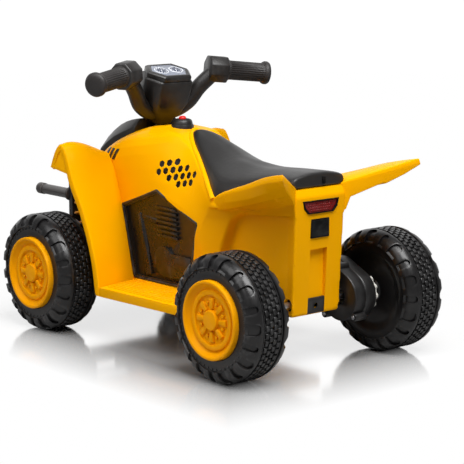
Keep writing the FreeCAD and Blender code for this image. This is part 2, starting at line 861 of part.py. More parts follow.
def tie_rod():
    x = FRONT_X - STEER_ARM
    bar = box(x - 5, x + 5, -KINGPIN_Y, KINGPIN_Y, TIE_Z, TIE_Z + TIE_H)
    pieces = [bar]
    for side in (-1, 1):
        at = v(x, side * KINGPIN_Y, TIE_Z)
        pieces.append(flat_rod(at, at + v(0, 0, TIE_H), TIE_EYE_R, ARM_SIDES))
    crank = crank_pin_point()
    tab_at = v(crank.x, 0, TIE_Z)
    pieces.append(flat_rod(tab_at, tab_at + v(0, 0, TIE_H), TIE_EYE_R + 2, ARM_SIDES))
    pieces.append(box(min(crank.x, x), max(crank.x, x), -9, 9, TIE_Z, TIE_Z + TIE_H))
    rod_solid = fuse(pieces)
    for side in (-1, 1):
        at = v(x, side * KINGPIN_Y, TIE_Z - 1)
        rod_solid = rod_solid.cut(rod(at, at + v(0, 0, TIE_H + 2), TIE_PIN_D / 2 + RUN_CLEAR))
    hole_at = v(crank.x, 0, TIE_Z - 1)
    hole = rod(hole_at, hole_at + v(0, 0, TIE_H + 2), TIE_PIN_D / 2 + CRANK_PIN_CLEAR)
    return rod_solid.cut(hole)


# Crank pin lies square to the raked column, level with the tie rod
def crank_root():
    level = TIE_Z + TIE_H / 2
    return column_point(level + STEER_ARM * math.sin(RAKE) + 14)


def crank_pin_point():
    tip = crank_root() - FORE_AXIS * STEER_ARM
    down = (tip.z - TIE_Z - TIE_H / 2) / math.cos(RAKE)
    return tip - UP_AXIS * down


def steering_column():
    top = console_point(0, 0, -40)
    shaft = rod(column_point(BEAM_Z0 - 2), top, COLUMN_D / 2)
    root = crank_root()
    collar = flat_rod(root - UP_AXIS * 8, root + UP_AXIS * 8, COLUMN_D / 2 + 5, ARM_SIDES)
    tip = root - FORE_AXIS * STEER_ARM
    web = flat_rod(root, tip - FORE_AXIS * 4, 5, 8)
    pin_at = crank_pin_point()
    pin = rod(tip + UP_AXIS * 5, pin_at - UP_AXIS * (TIE_H / 2 + 2.5), TIE_PIN_D / 2)
    return fuse([shaft, collar, web, pin])


# Handlebar console in the frame of the raked column
def console_point(fore, y, up):
    z_axis = (CONSOLE_Z - COLUMN_Z) / math.cos(RAKE)
    origin = column_point(COLUMN_Z) + UP_AXIS * z_axis
    return origin + FORE_AXIS * fore + UP_AXIS * up + v(0, y, 0)


def console_ring(up, rear, front, half_wide, half_narrow):
    outline = (
        (rear, half_narrow),
        ((rear + front) / 2, half_wide),
        (front, half_narrow),
    )
    left = [console_point(f, y, up) for f, y in outline]
    right = [console_point(f, -y, up) for f, y in reversed(outline)]
    return left + right


def console():
    body = loft([
        console_ring(-92, -17, 17, 20, 14),
        console_ring(-72, -18, 18, 22, 15),
        console_ring(-56, -24, 26, 34, 22),
        console_ring(-30, -28, 30, 42, 27),
        console_ring(-10, -29, 30, 44, 28),
    ])
    arms = []
    for side in (-1, 1):
        arms.append(bar_arm(side))
    socket = rod(console_point(0, 0, -100), console_point(0, 0, -40), COLUMN_D / 2)
    shape = fuse([body] + arms).cut(socket)
    return shape.cut([bar_clamp(1), bar_clamp(-1)])


# Bent arm from the neck out to the elbow and up into the clamp
def bar_arm(side):
    foot = console_point(0, 0, -74)
    elbow = v(ELBOW_X, side * ELBOW_Y, ELBOW_Z)
    end = clamp_point(side, 0)
    first = (elbow - foot).normalize()
    second = (end - elbow).normalize()
    square = first.cross(second).normalize()
    rings = []
    for at, along in ((foot, first), (elbow, (first + second).normalize()), (end, second)):
        across = along.cross(square)
        stretch = 1 / max(along.dot(first), along.dot(second))
        ring = []
        for k in range(ARM_SIDES):
            a = 2 * math.pi * k / ARM_SIDES
            wide = across * (ARM_TUBE_R * stretch * math.cos(a))
            ring.append(at + wide + square * (ARM_TUBE_R * math.sin(a)))
        rings.append(ring)
    return loft(rings)


def clamp_point(side, shift):
    start = v(CLAMP_X, side * CLAMP_Y, CLAMP_Z)
    end = v(GRIP_END_X, side * GRIP_END_Y, GRIP_END_Z)
    return start + (end - start).normalize() * shift


def bar_clamp(side):
    a = clamp_point(side, -CLAMP_L / 2)
    axis = clamp_point(side, CLAMP_L / 2) - a
    across = axis.cross(v(0, 0, 1)).normalize()
    up = across.cross(axis).normalize()
    points = []
    for k in range(8):
        t = math.radians(22.5 + 45 * k)
        points.append(a + across * (CLAMP_R * math.cos(t)) + up * (CLAMP_R * math.sin(t)))
    return prism(points, axis)


def grip(side):
    end = v(GRIP_END_X, side * GRIP_END_Y, GRIP_END_Z)
    start = clamp_point(side, CLAMP_L / 2)
    axis = (end - start).normalize()
    length = (end - start).Length
    valley = GRIP_R - GRIP_RIB_H
    profile = (
        (0, GRIP_R + 2, GRIP_R + 2),
        (4, GRIP_R + 2, GRIP_R + 2),
        (5, GRIP_R, valley),
        (length - 14, GRIP_R, valley),
        (length - 9, GRIP_FLANGE_R, GRIP_FLANGE_R),
        (length - 3, GRIP_FLANGE_R, GRIP_FLANGE_R),
        (length, GRIP_FLANGE_R - 4, GRIP_FLANGE_R - 4),
    )
    shape = loft([ring_about_y(t, (high, low), GRIP_RIBS) for t, high, low in profile])
    shape.Placement = FreeCAD.Placement(start, FreeCAD.Rotation(v(0, 1, 0), axis))
    return shape


def console_lid():
    lid = loft([
        console_ring(-10, -29, 30, 44, 28),
        console_ring(-3, -29, 30, 44, 28),
        console_ring(0, -26, 27, 40, 25),
    ])
    return lid.cut(dial_space(1))


def dial_panel():
    return dial_space(-0.5)


def dial_space(top):
    return loft([console_ring(DIAL_FLOOR, *DIAL), console_ring(top, *DIAL)])


# Wheels
def tyre():
    tread = TYRE_R - LUG_HEIGHT
    shoulder = tread - SIDEWALL_DROP
    wall_r = RIM_R + SIDEWALL_BAND
    groove = (tread + shoulder) / 2
    inner = (
        (0, wall_r, wall_r),
        (SHOULDER_W, shoulder, shoulder),
        (SHOULDER_W + LUG_SLOPE, TYRE_R, shoulder),
        (LUG_BAND - LUG_SLOPE, TYRE_R, groove),
        (LUG_BAND, tread, tread),
    )
    rings = [ring_about_y(w, (high, high, low, low), LUG_COUNT) for w, high, low in inner]
    for w, high, low in reversed(inner):
        rings.append(ring_about_y(TYRE_W - w, (low, low, high, high), LUG_COUNT))
    solid = loft(rings)
    seat_w = TYRE_W - RIM_SEAT_DEPTH
    dish = loft([
        ring_about_y(-1, (wall_r - SIDEWALL_BAND / 2,), DISC_SIDES),
        ring_about_y(DISH_DEPTH, (RIM_R - SIDEWALL_BAND / 2,), DISC_SIDES),
    ])
    seat_hole = loft([
        ring_about_y(seat_w, (RIM_R + RIM_CLEAR,), DISC_SIDES),
        ring_about_y(TYRE_W + 1, (RIM_R + RIM_CLEAR,), DISC_SIDES),
    ])
    boss = loft([
        ring_about_y(-HUB_BOSS_PROUD, (HUB_BOSS_R,), DISC_SIDES // 2),
        ring_about_y(DISH_DEPTH + 1, (HUB_BOSS_R + 2,), DISC_SIDES // 2),
    ])
    solid = fuse([solid.cut([dish, seat_hole]), boss])
    solid = solid.cut(rod(v(0, -50, 0), v(0, 150, 0), BORE_R))
    solid.translate(v(0, TYRE_IN_Y, 0))
    return solid


def wheel_disc():
    seat_w = TYRE_W - RIM_SEAT_DEPTH
    face_w = TYRE_W + RIM_PROUD
    floor = seat_w + 0.2
    profile = (
        (RIM_R, floor),
        (RIM_R, face_w),
        (RIM_R - 4.5, face_w),
        (RIM_STEP_R, face_w - 9),
        (RIM_STEP_R - 2, face_w - 6),
        (RIM_RING_R, face_w - 6),
        (RIM_RING_R - 1.5, face_w - 10),
        (HUB_CAP_R + 2, face_w - 10),
        (HUB_CAP_R, face_w - 3),
        (HUB_CAP_R / 2, face_w - 2),
    )
    disc = loft([ring_about_y(w, (r,), DISC_SIDES) for r, w in profile])
    hollow = loft([ring_about_y(w, (AXLE_R + 8,), DISC_SIDES // 2) for w in (floor - 1, face_w - 5)])
    disc = disc.cut(hollow)
    disc.translate(v(0, TYRE_IN_Y, 0))
    studs = []
    mid = (HUB_CAP_R + RIM_RING_R) / 2
    for k in range(STUD_COUNT):
        a = 2 * math.pi * k / STUD_COUNT
        at = v(mid * math.cos(a), TYRE_IN_Y + face_w - 12, mid * math.sin(a))
        studs.append(flat_rod(at, at + v(0, 6, 0), STUD_R, 8))
    return fuse([disc] + studs)


def push_nut():
    y = stub_end_y()
    seat = TYRE_IN_Y + TYRE_W - RIM_SEAT_DEPTH
    nut = flat_rod(v(0, seat + SIDE_GAP, 0), v(0, seat + SIDE_GAP + 5, 0), AXLE_R + 4, 6)
    return nut.cut(rod(v(0, seat - 5, 0), v(0, y, 0), AXLE_R))


def at_wheel(shape, front, left):
    placed = shape if left else mirrored(shape)
    placed = placed.copy()
    placed.translate(v(FRONT_X if front else REAR_X, 0, TYRE_R))
    return placed


# Rear axle with the spacer on the idle side
def rear_axle():
    return rod(v(REAR_X, -stub_end_y(), TYRE_R), v(REAR_X, stub_end_y(), TYRE_R), AXLE_R)


def axle_spacer():
    y0 = AXLE_POST_Y1 + SIDE_GAP
    y1 = TYRE_IN_Y - HUB_BOSS_PROUD - SIDE_GAP
    tube = rod(v(REAR_X, y0, TYRE_R), v(REAR_X, y1, TYRE_R), AXLE_R + 0.9)
    return tube.cut(rod(v(REAR_X, y0 - 1, TYRE_R), v(REAR_X, y1 + 1, TYRE_R), BORE_R))


# Gear train: centres step forward and up from the axle
def gear_centres():
    axle = v(REAR_X, 0, TYRE_R)
    spans = [(a + b) * m / 2 for a, b, m in GEAR_TEETH]
    angles = (38.0, 8.0, -20.0)
    second = axle + polar(spans[2], angles[0])
    first = second + polar(spans[1], angles[1])
    motor = first + polar(spans[0], angles[2])
    return axle, second, first, motor, angles


def polar(length, degrees):
    a = math.radians(degrees)
    return v(length * math.cos(a), 0, length * math.sin(a))


def gear(centre, teeth, module, y0, y1, phase):
    pitch_r = teeth * module / 2
    tip = pitch_r + 0.8 * module
    root = pitch_r - 1.1 * module
    step = 2 * math.pi / teeth
    points = []
    for k in range(teeth):
        a = math.radians(phase) + k * step
        for share, r in ((-0.28, root), (-0.12, tip), (0.12, tip), (0.28, root)):
            t = a + share * step
            points.append(centre + v(r * math.cos(t), y0, r * math.sin(t)))
    return prism(points, v(0, y1 - y0, 0))


def gear_set():
    axle, second, first, motor, angles = gear_centres()
    y = GEARBOX_IN_Y - GEARBOX_WALL - 1
    y1 = y - 7
    y2 = y1 - 9
    y3 = y2 - 13
    (n1, n2, m1), (n3, n4, m2), (n5, n6, m3) = GEAR_TEETH
    pinion = gear(motor, n1, m1, y1 + 0.5, y, angles[2] + 180)
    half2 = 180.0 / n2
    half4 = 180.0 / n4
    half6 = 180.0 / n6
    wheel1 = gear(first, n2, m1, y1 + 0.5, y, angles[2] + half2)
    small1 = gear(first, n3, m2, y2, y1 + 0.5, angles[1] + 180)
    wheel2 = gear(second, n4, m2, y2 + 0.5, y1 - 0.5, angles[1] + half4)
    small2 = gear(second, n5, m3, y3, y2 + 0.5, angles[0] + 180)
    out = gear(axle, n6, m3, y3 + 0.5, y2 - 0.5, angles[0] + half6)
    hub_end = -(TYRE_IN_Y - HUB_BOSS_PROUD) + SIDE_GAP
    hub = rod(v(axle.x, y2 - 0.5, axle.z), v(axle.x, hub_end, axle.z), HUB_BOSS_R - 3)
    out = fuse([out, hub])
    out = out.cut(rod(v(axle.x, 0, axle.z), v(axle.x, -200, axle.z), BORE_R))
    hole = PIN_D / 2 + RUN_CLEAR
    first_gear = fuse([wheel1, small1]).cut(rod(first, first + v(0, -200, 0), hole))
    second_gear = fuse([wheel2, small2]).cut(rod(second, second + v(0, -200, 0), hole))
    shaft = rod(motor + v(0, y - 8, 0), motor + v(0, y + 1, 0), MOTOR_SHAFT_R + RUN_CLEAR)
    pinion = pinion.cut(shaft)
    return pinion, first_gear, second_gear, out


def gearbox_block(inset, y0, y1):
    axle, second, first, motor, angles = gear_centres()
    circles = ((axle, GEARBOX_R), (second, 30.0), (first, 24.0), (motor, 19.0))
    return fuse([flat_rod(c + v(0, y0, 0), c + v(0, y1, 0), r - inset, CASE_SIDES) for c, r in circles])


def gearbox_case(inner):
    axle, second, first, motor, angles = gear_centres()
    split = (GEARBOX_IN_Y + GEARBOX_OUT_Y) / 2
    if inner:
        block = gearbox_block(0, GEARBOX_IN_Y, split)
        block = block.cut(gearbox_block(GEARBOX_WALL, GEARBOX_IN_Y - GEARBOX_WALL, split - 1))
        pins = []
        for c in (first, second):
            far = c + v(0, GEARBOX_OUT_Y + GEARBOX_WALL + 0.5, 0)
            pins.append(rod(c + v(0, GEARBOX_IN_Y - 1, 0), far, PIN_D / 2))
        post_y = -AXLE_POST_Y1
        boss_end = axle + v(0, GEARBOX_IN_Y - 1, 0)
        boss = flat_rod(axle + v(0, post_y, 0), boss_end, AXLE_R + BOSS_WALL, ARM_SIDES)
        block = fuse([block, boss] + pins)
        block = block.cut(rod(motor + v(0, 0, 0), motor + v(0, split, 0), 4))
        return block.cut(rod(axle, axle + v(0, -200, 0), BORE_R))
    block = gearbox_block(0, split, GEARBOX_OUT_Y)
    block = block.cut(gearbox_block(GEARBOX_WALL, split + 1, GEARBOX_OUT_Y + GEARBOX_WALL))
    return block.cut(rod(axle, axle + v(0, -200, 0), HUB_BOSS_R - 3 + RUN_CLEAR))


def motor_rod(radius):
    axle, second, first, motor, angles = gear_centres()
    end = motor + v(0, GEARBOX_IN_Y + MOTOR_L, 0)
    return flat_rod(motor + v(0, GEARBOX_IN_Y, 0), end, radius, CASE_SIDES // 2)


def motor():
    axle, second, first, centre, angles = gear_centres()
    can = motor_rod(MOTOR_R)
    tip = GEARBOX_IN_Y - GEARBOX_WALL - 9
    shaft = rod(centre + v(0, GEARBOX_IN_Y, 0), centre + v(0, tip, 0), MOTOR_SHAFT_R)
    tail = rod(centre + v(0, GEARBOX_IN_Y + MOTOR_L, 0), centre + v(0, GEARBOX_IN_Y + MOTOR_L + 4, 0), 5)
    return fuse([can, shaft, tail])


def battery():
    z = BEAM_Z0 + WALL
    case = box(-40, -40 + BATTERY_L, -BATTERY_W / 2, BATTERY_W / 2, z, z + BATTERY_H)
    posts = [box(-30, -24, s * 14 - 3, s * 14 + 3, z + BATTERY_H, z + BATTERY_H + 6) for s in (-1, 1)]
    return fuse([case] + posts)


def horn():
    x = FRONT_X + BEAM_FORE
    y = KINGPIN_Y + 5
    tube = flat_rod(v(x, y, HORN_Z), v(HORN_TIP_X - HORN_CAP, y, HORN_Z), HORN_R, HORN_SIDES)
    flange = flat_rod(v(x, y, HORN_Z), v(x + 6, y, HORN_Z), HORN_R + 3, HORN_SIDES)
    return fuse([tube, flange])


def horn_cap():
    y = KINGPIN_Y + 5
    x = HORN_TIP_X - HORN_CAP
    band = flat_rod(v(x, y, HORN_Z), v(HORN_TIP_X, y, HORN_Z), HORN_R + 1, HORN_SIDES)
    socket_end = v(HORN_TIP_X + 1, y, HORN_Z)
    return band.cut(flat_rod(v(HORN_TIP_X - 5, y, HORN_Z), socket_end, HORN_R - 2, HORN_SIDES))


def main():
    os.makedirs("parts", exist_ok=True)
    hull_solid = hull(0, 0)
    wing = rear_wing()
    wings = [wing, mirrored(wing)]
    write("body_shell", body_shell(hull_solid, wings))
    fender = front_fender(hull_solid)
    write_pair("front_fender", fender)
    write_pair("footrest", footrest(hull_solid, fender))
    write_pair("engine_cover", engine_cover())
    write("seat", seat(wings))
    write("nose_cover", nose_cover(hull_solid))
    write("headlamp_left", headlamp(1, SIDE_GAP))
    write("headlamp_right", headlamp(-1, SIDE_GAP))
    write("tail_lamp_bezel", tail_lamp_bezel())
    write("tail_lamp_lens", lamp_prism(BEZEL_W + SIDE_GAP, TAIL_TOP_X - 3, TAIL_TOP_X + 4))
    write("tow_block", tow_block())
    write("start_pod", start_pod(hull_solid))
    write("start_button", start_button())
    write("chassis_pan", chassis_pan())
    write("front_axle_frame", axle_frame())
    write("column_bush_lower", column_bush(BEAM_Z0 + 1, BEAM_Z1 - 1, COLUMN_D / 2 + 3))
    write("front_grille", front_grille())
    write_pair("front_spring", front_spring())
    write_pair("bumper_horn", horn())
    write_pair("horn_cap", horn_cap())
    write_pair("knuckle", knuckle())
    write("tie_rod", tie_rod())
    write("steering_column", steering_column())
    write("console", console())
    write("console_lid", console_lid())
    write("dial_panel", dial_panel())
    for side, name in ((1, "left"), (-1, "right")):
        write("bar_clamp_" + name, bar_clamp(side))
        write("grip_" + name, grip(side))
    tyre_solid = tyre()
    disc = wheel_disc()
    nut = push_nut()
    for front, left in ((True, True), (True, False), (False, True), (False, False)):
        place = ("front" if front else "rear") + ("_left" if left else "_right")
        write("tyre_" + place, at_wheel(tyre_solid, front, left))
        write("wheel_disc_" + place, at_wheel(disc, front, left))
        write("push_nut_" + place, at_wheel(nut, front, left))
    write("rear_axle", rear_axle())
    write("axle_spacer", axle_spacer())
    write("gearbox_case_inner", gearbox_case(True))
    write("gearbox_case_outer", gearbox_case(False))
    write("motor", motor())
    pinion, first_gear, second_gear, output_gear = gear_set()
    write("motor_pinion", pinion)
    write("first_gear", first_gear)
    write("second_gear", second_gear)
    write("output_gear", output_gear)
    write("battery", battery())


main()
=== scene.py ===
import json
import math

import bmesh
import bpy
from mathutils import Matrix, Vector
from mathutils.geometry import convex_hull_2d


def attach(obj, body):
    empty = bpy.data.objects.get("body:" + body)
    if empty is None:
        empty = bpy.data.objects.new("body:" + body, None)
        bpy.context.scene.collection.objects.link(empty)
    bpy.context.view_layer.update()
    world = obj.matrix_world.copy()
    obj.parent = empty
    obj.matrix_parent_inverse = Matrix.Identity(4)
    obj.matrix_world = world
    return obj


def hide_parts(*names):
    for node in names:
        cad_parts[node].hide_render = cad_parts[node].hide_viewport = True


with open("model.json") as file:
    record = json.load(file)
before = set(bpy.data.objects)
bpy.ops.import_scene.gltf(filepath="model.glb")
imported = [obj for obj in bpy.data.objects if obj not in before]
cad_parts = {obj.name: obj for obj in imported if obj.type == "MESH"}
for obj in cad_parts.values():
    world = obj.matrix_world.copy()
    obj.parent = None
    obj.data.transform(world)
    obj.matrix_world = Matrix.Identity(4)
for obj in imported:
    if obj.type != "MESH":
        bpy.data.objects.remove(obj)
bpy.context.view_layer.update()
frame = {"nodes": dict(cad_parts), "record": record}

bl_info = {
    "name": "Kids quad bike",
    "version": (1, 0, 0),
    "blender": (4, 5, 0),
    "location": "View3D > Sidebar > Quad bike",
    "description": "Dresses the packed quad bike with its mouldings, wheels, trim and studio",
    "category": "Object",
}

NODES = frame["nodes"]
SIDES = ((1, "left"), (-1, "right"))
AXLES = ((1, "front"), (-1, "rear"))

# Places that pieces share, in millimetres from the middle of the wheelbase, and directions

SHIFT_X = -11.625
AXLE_X = 238.75
AXLE_Z = 100
TYRE_Y = 127
TYRE_WIDTH = 76.0
BLOCK_Y = 160
CROWN_RISE = 2.5
POD_X = 81
COLUMN_HOLE = (148, 0, 347)
CLAMP = (107, 97, 438)
GRIP_END = (74.5, 187, 428.5)
CONSOLE = (117.46, 0, 441)
ACROSS = (0, 1, 0)
RAKE = math.radians(18)
FORE = Vector((math.cos(RAKE), 0, math.sin(RAKE)))
RISE = Vector((-math.sin(RAKE), 0, math.cos(RAKE)))

# Sections of the mouldings, in millimetres from the middle of the wheelbase

HULL = (
    (238, (44, 212), (50, 230), (56, 252), (60, 272), (46, 297)),
    (200, (56, 170), (64, 205), (74, 245), (79, 293), (50, 315)),
    (165, (64, 122), (70, 172), (78, 240), (81, 307), (50, 331)),
    (131, (69, 76), (71, 150), (78, 240), (75, 316), (42, 343)),
    (90, (67, 76), (71, 150), (78, 240), (68, 322), (34, 348)),
    (50, (65, 76), (71, 150), (79, 240), (56, 328), (28, 349)),
    (10, (63, 76), (72, 150), (80, 238), (40, 325), (16, 342)),
    (-28, (62, 76), (74, 150), (80, 226), (55, 301), (24, 326)),
    (-65, (61, 76), (74, 150), (80, 212), (71, 277), (32, 308)),
    (-105, (60, 76), (74, 150), (80, 215), (82, 253), (40, 296)),
    (-145, (57, 77), (66, 150), (70, 235), (62, 268), (42, 290)),
    (-190, (54, 79), (56, 150), (57, 262), (54, 284), (44, 292)),
    (-300, (46, 85), (49, 150), (52, 268), (50, 284), (44, 290)),
)
SEAT_LINE = ((42, 343), (-99, 256), (-200, 283), (-322, 285))
TAIL = ((-250, 40), (-250, 84), (-260, 270), (-254, 284), (-254, 340))
WELL = ((30, -8, -50), (147, -40, -80), (209, -61, -106), (228, -78, -122), (240, -88, -150))
WING = (
    (-84, 0.0, 226, 71, 231, 80, 238, 3, 240),
    (-99, 0.0, 228, 76, 236, 83, 255, 3, 250),
    (-122, -0.1, 230, 83, 240, 90, 268, 4, 262),
    (-192, -0.35, 236, 95, 259, 113, 293, 8, 283),
    (-236, -0.55, 240, 101, 274, 132, 313, 10, 286),
    (-262, -0.8, 243, 103, 284, 145, 324, 10, 284),
)
SEAT = (
    (41.7, 8, 340, 5, 344, 345),
    (34, 17, 336, 10, 346, 348),
    (13, 30, 323, 18, 341, 344.5),
    (-21, 45, 303, 26, 326, 331),
    (-59, 63, 279, 36, 308, 314),
    (-99, 82, 252, 44, 298, 307),
    (-140, 78, 256, 50, 295, 303),
    (-190, 66, 266, 50, 299, 305),
    (-235, 58, 274, 48, 301, 307),
    (-250, 56, 279, 48, 301, 307),
    (-256, 55, 281, 47, 299, 305),
)
FENDER = (
    (131, 60, 76, 97, 165, 76, 1, 0),
    (141, 60, 137, 103, 169, 140, 1, -0.05),
    (153, 62, 210, 126, 172, 208, 1, -0.2),
    (163, 66, 262, 150, 178, 264, 0.9, -0.45),
    (173, 68, 288, 166, 178, 304, 0.6, -0.8),
    (187, 68, 297, 184, 178, 324, 0, -1),
    (206, 60, 284, 203, 178, 309, -0.6, -0.8),
    (222, 46, 250, 217, 176, 282, -0.9, -0.45),
)
SHIELD_FOLD = ((197, 292), (184, 284), (171, 262), (160, 238), (153, 222))
OPENING = ((127, 93), (149, 216), (54, 250), (-54, 208), (-35, 146), (-20, 93))
LAMP = ((-38, 264.5), (-34.5, 252), (-26, 243.5), (26, 243.5), (34.5, 252), (38, 264.5))
LAMP_MIDDLE_Z = 254.5
VENT_ROWS = ((3, 0.0), (5, -0.5), (5, 1.0), (3, 2.5))
VENT_FIRST = (51.2, 293.7)
VENT_STEP = (-14.3, 2.75)
VENT_ROW_STEP = (-3.5, -11.83)
STRIPES = ((187, 285, 1.0), (175, 288, 0.88), (163, 291, 0.76))
STRIPE_LEAN = 0.45
FENDER_CROWN = 9.0
GEAR_SHELLS = ((6.5, -60, -82.6), (6.5, -83.4, -106), (5.5, -62, -104))
GEAR_BOSSES = ((-272, 71), (-206, 66), (-232, 146))

# Wheel profiles, in millimetres of radius and width from the inner face of the tyre

TYRE_HALF = (
    (57, 7), (62, 4), (67, 2.2), (72, 1.6), (78.5, 1.4), (82, 2), (87, 3.6), (91.4, 7), (94.6, 12),
    (95.8, 18), (96.0, 19.4), (97.6, 20.0), (97.6, 21.6), (95.6, 22.2), (95.9, 30))
TYRE_HUB = ((5.2, -7.5), (13, -7.5), (14, -6.5), (16, 5), (19, 7.6), (50, 8.6))
SHOULDER = ((18.0, 95.8), (12.0, 94.6), (7.0, 91.4), (3.6, 87.0), (2.0, 82.0), (1.4, 78.5))
TREAD_ROWS = (26.2, 34.1, 41.9, 49.8)
RIM_SEAT = 62.4
DISC_FACE = TYRE_WIDTH + 7
DISC_DEPTHS = (
    (61, 2), (60.4, 0.7), (59, 0.1), (57, 0.2), (55.6, 1.2), (54.4, 3), (49, 8.6), (47.8, 9.2), (46.8, 8.6),
    (46.0, 6.4), (44.8, 5.8), (39.4, 5.8), (38.2, 6.4), (37.2, 9.4), (36.2, 10), (17.4, 10), (16.2, 9.2),
    (15.4, 4), (14.2, 2.8), (8, 2.2), (0.01, 2), (0.01, 5), (12, 5))

# Finishes: colour or its property, roughness from and to, colour drift, edge wear, bump, other values

FINISHES = {
    "body_yellow": ("body", 0.20, 0.30, 0.03, 0.05, 0.02, {"shader": {"Specular IOR Level": 0.03}}),
    "wheel_yellow": ("wheel", 0.28, 0.40, 0.04, 0.04, 0.05, {"shader": {"Specular IOR Level": 0.05}}),
    "trim_black": ("trim", 0.30, 0.44, 0.2, 0.25, 0.06, {}),
    "engine_black": ((0.10, 0.08, 0.065), 0.22, 0.36, 0.2, 0.3, 0.05, {}),
    "seat_black": ("seat", 0.36, 0.46, 0.1, 0.15, 0.10, {"grain": 1500.0}),
    "tyre_black": ("tyre", 0.26, 0.40, 0.2, 0.15, 0.08, {"dust": 0.06}),
    "bumper_grey": ("bumper", 0.30, 0.42, 0.1, 0.2, 0.05, {}),
    # The grip rubber's slight warm tint is partly its own colour and partly painted reflection of the yellow
    # body.
    "grip_rubber": ((0.14, 0.125, 0.12), 0.42, 0.58, 0.15, 0.2, 0.12, {}),
    "signal_red": ("lamp", 0.12, 0.22, 0.1, 0.1, 0.02, {"shader": {"Specular IOR Level": 0.3}}),
    "button_red": ((0.86, 0.06, 0.04), 0.2, 0.32, 0.03, 0.05, 0.05, {}),
    # deep_black is the black of the lamp bezel and tail plate, and also painted shade in the vent holes and
    # the seat's slot.
    "deep_black": ((0.03, 0.027, 0.029), 0.42, 0.6, 0.2, 0.1, 0.05, {"shader": {"Specular IOR Level": 0.12}}),
    "dial_grey": ("dial", 0.25, 0.35, 0.1, 0.05, 0.02, {}),
    "dial_blue": ((0.16, 0.20, 0.30), 0.2, 0.3, 0.1, 0.05, 0.02, {}),
    "dial_white": ((0.92, 0.93, 0.95), 0.25, 0.35, 0.03, 0.0, 0.02, {}),
    "lamp_clear": ((0.78, 0.80, 0.82), 0.08, 0.16, 0.05, 0.05, 0.02,
                   {"shader": {"Coat Weight": 0.6, "Coat Roughness": 0.05}}),
    "frame_black": ((0.075, 0.07, 0.07), 0.30, 0.46, 0.2, 0.2, 0.08, {"dust": 0.06}),
    "spring_yellow": ((0.93, 0.60, 0.02), 0.28, 0.40, 0.08, 0.25, 0.04, {}),
    "bright_steel": ((0.70, 0.70, 0.71), 0.24, 0.42, 0.12, 0.3, 0.05,
                     {"worn": (0.9, 0.9, 0.9), "shader": {"Metallic": 1.0}}),
    "gear_white": ((0.86, 0.85, 0.82), 0.34, 0.46, 0.05, 0.1, 0.04, {}),
    "battery_grey": ((0.28, 0.29, 0.31), 0.40, 0.55, 0.1, 0.2, 0.08, {}),
}
SLOT_FINISH = {"cowl_black": "trim_black", "bar_black": "trim_black", "dial_face": "dial_grey",
               "steel": "bright_steel"}
PLAIN_GRAIN = 900.0
WORN_LIFT = 0.16
BUMP_DEPTH = 0.0006

# Other sizes in metres

FOLD_RADIUS = 0.0026
GRIP_START = 0.017
BOLT_SINK = 0.0222


class QuadColours(bpy.types.PropertyGroup):
    """Finishes of the mouldings."""

    body: bpy.props.FloatVectorProperty(
        name="Body yellow", description="Gloss plastic of the body, fenders and footrests",
        subtype="COLOR_GAMMA", size=3, min=0, max=1, default=(0.975, 0.68, 0.0))
    wheel: bpy.props.FloatVectorProperty(
        name="Wheel yellow", description="Plastic of the wheel discs",
        subtype="COLOR_GAMMA", size=3, min=0, max=1, default=(0.94, 0.625, 0.0))
    # The trim black's slight warm tint is partly its own colour and partly painted reflection of the yellow
    # body.
    trim: bpy.props.FloatVectorProperty(
        name="Trim black", description="Satin plastic of the console, cowl and covers",
        subtype="COLOR_GAMMA", size=3, min=0, max=1, default=(0.095, 0.083, 0.077))
    seat: bpy.props.FloatVectorProperty(
        name="Seat black", description="Hard moulded saddle",
        subtype="COLOR_GAMMA", size=3, min=0, max=1, default=(0.10, 0.094, 0.092))
    tyre: bpy.props.FloatVectorProperty(
        name="Tyre black", description="Blown plastic of the tyres",
        subtype="COLOR_GAMMA", size=3, min=0, max=1, default=(0.06, 0.055, 0.057))
    bumper: bpy.props.FloatVectorProperty(
        name="Bumper grey", description="Plastic of the front horns",
        subtype="COLOR_GAMMA", size=3, min=0, max=1, default=(0.22, 0.20, 0.19))
    lamp: bpy.props.FloatVectorProperty(
        name="Lamp red", description="Tail lamp lens",
        subtype="COLOR_GAMMA", size=3, min=0, max=1, default=(0.48, 0.045, 0.03))
    dial: bpy.props.FloatVectorProperty(
        name="Dial grey", description="Printed face of the dials",
        subtype="COLOR_GAMMA", size=3, min=0, max=1, default=(0.50, 0.52, 0.57))


class QuadSizes(bpy.types.PropertyGroup):
    """Sizes of the fine detail."""

    skin_voxel: bpy.props.FloatProperty(
        name="Skin cell", description="Cell size that rounds the edges of the body and the seat",
        subtype="DISTANCE", unit="LENGTH", min=0.001, default=0.002)
    skin_wall: bpy.props.FloatProperty(
        name="Skin wall", description="Wall thickness of the body",
        subtype="DISTANCE", unit="LENGTH", min=0.001, default=0.0055)
    fender_wall: bpy.props.FloatProperty(
        name="Fender wall", description="Wall thickness of the front fenders",
        subtype="DISTANCE", unit="LENGTH", min=0.001, default=0.003)
    fender_flange: bpy.props.FloatProperty(
        name="Fender flange", description="Depth of the rolled edge of a fender",
        subtype="DISTANCE", unit="LENGTH", min=0.002, default=0.012)
    tread_blocks: bpy.props.IntProperty(
        name="Tread blocks", description="Blocks round one row of the tread", min=12, default=54)
    shoulder_pads: bpy.props.IntProperty(
        name="Shoulder pads", description="Large pads round one shoulder of a tyre", min=6, default=10)
    spring_turns: bpy.props.IntProperty(
        name="Spring turns", description="Turns of a front spring", min=2, default=4)
    edge: bpy.props.FloatProperty(
        name="Trim edge", description="Rounding of the trim's edges",
        subtype="DISTANCE", unit="LENGTH", min=0.0002, default=0.0012)


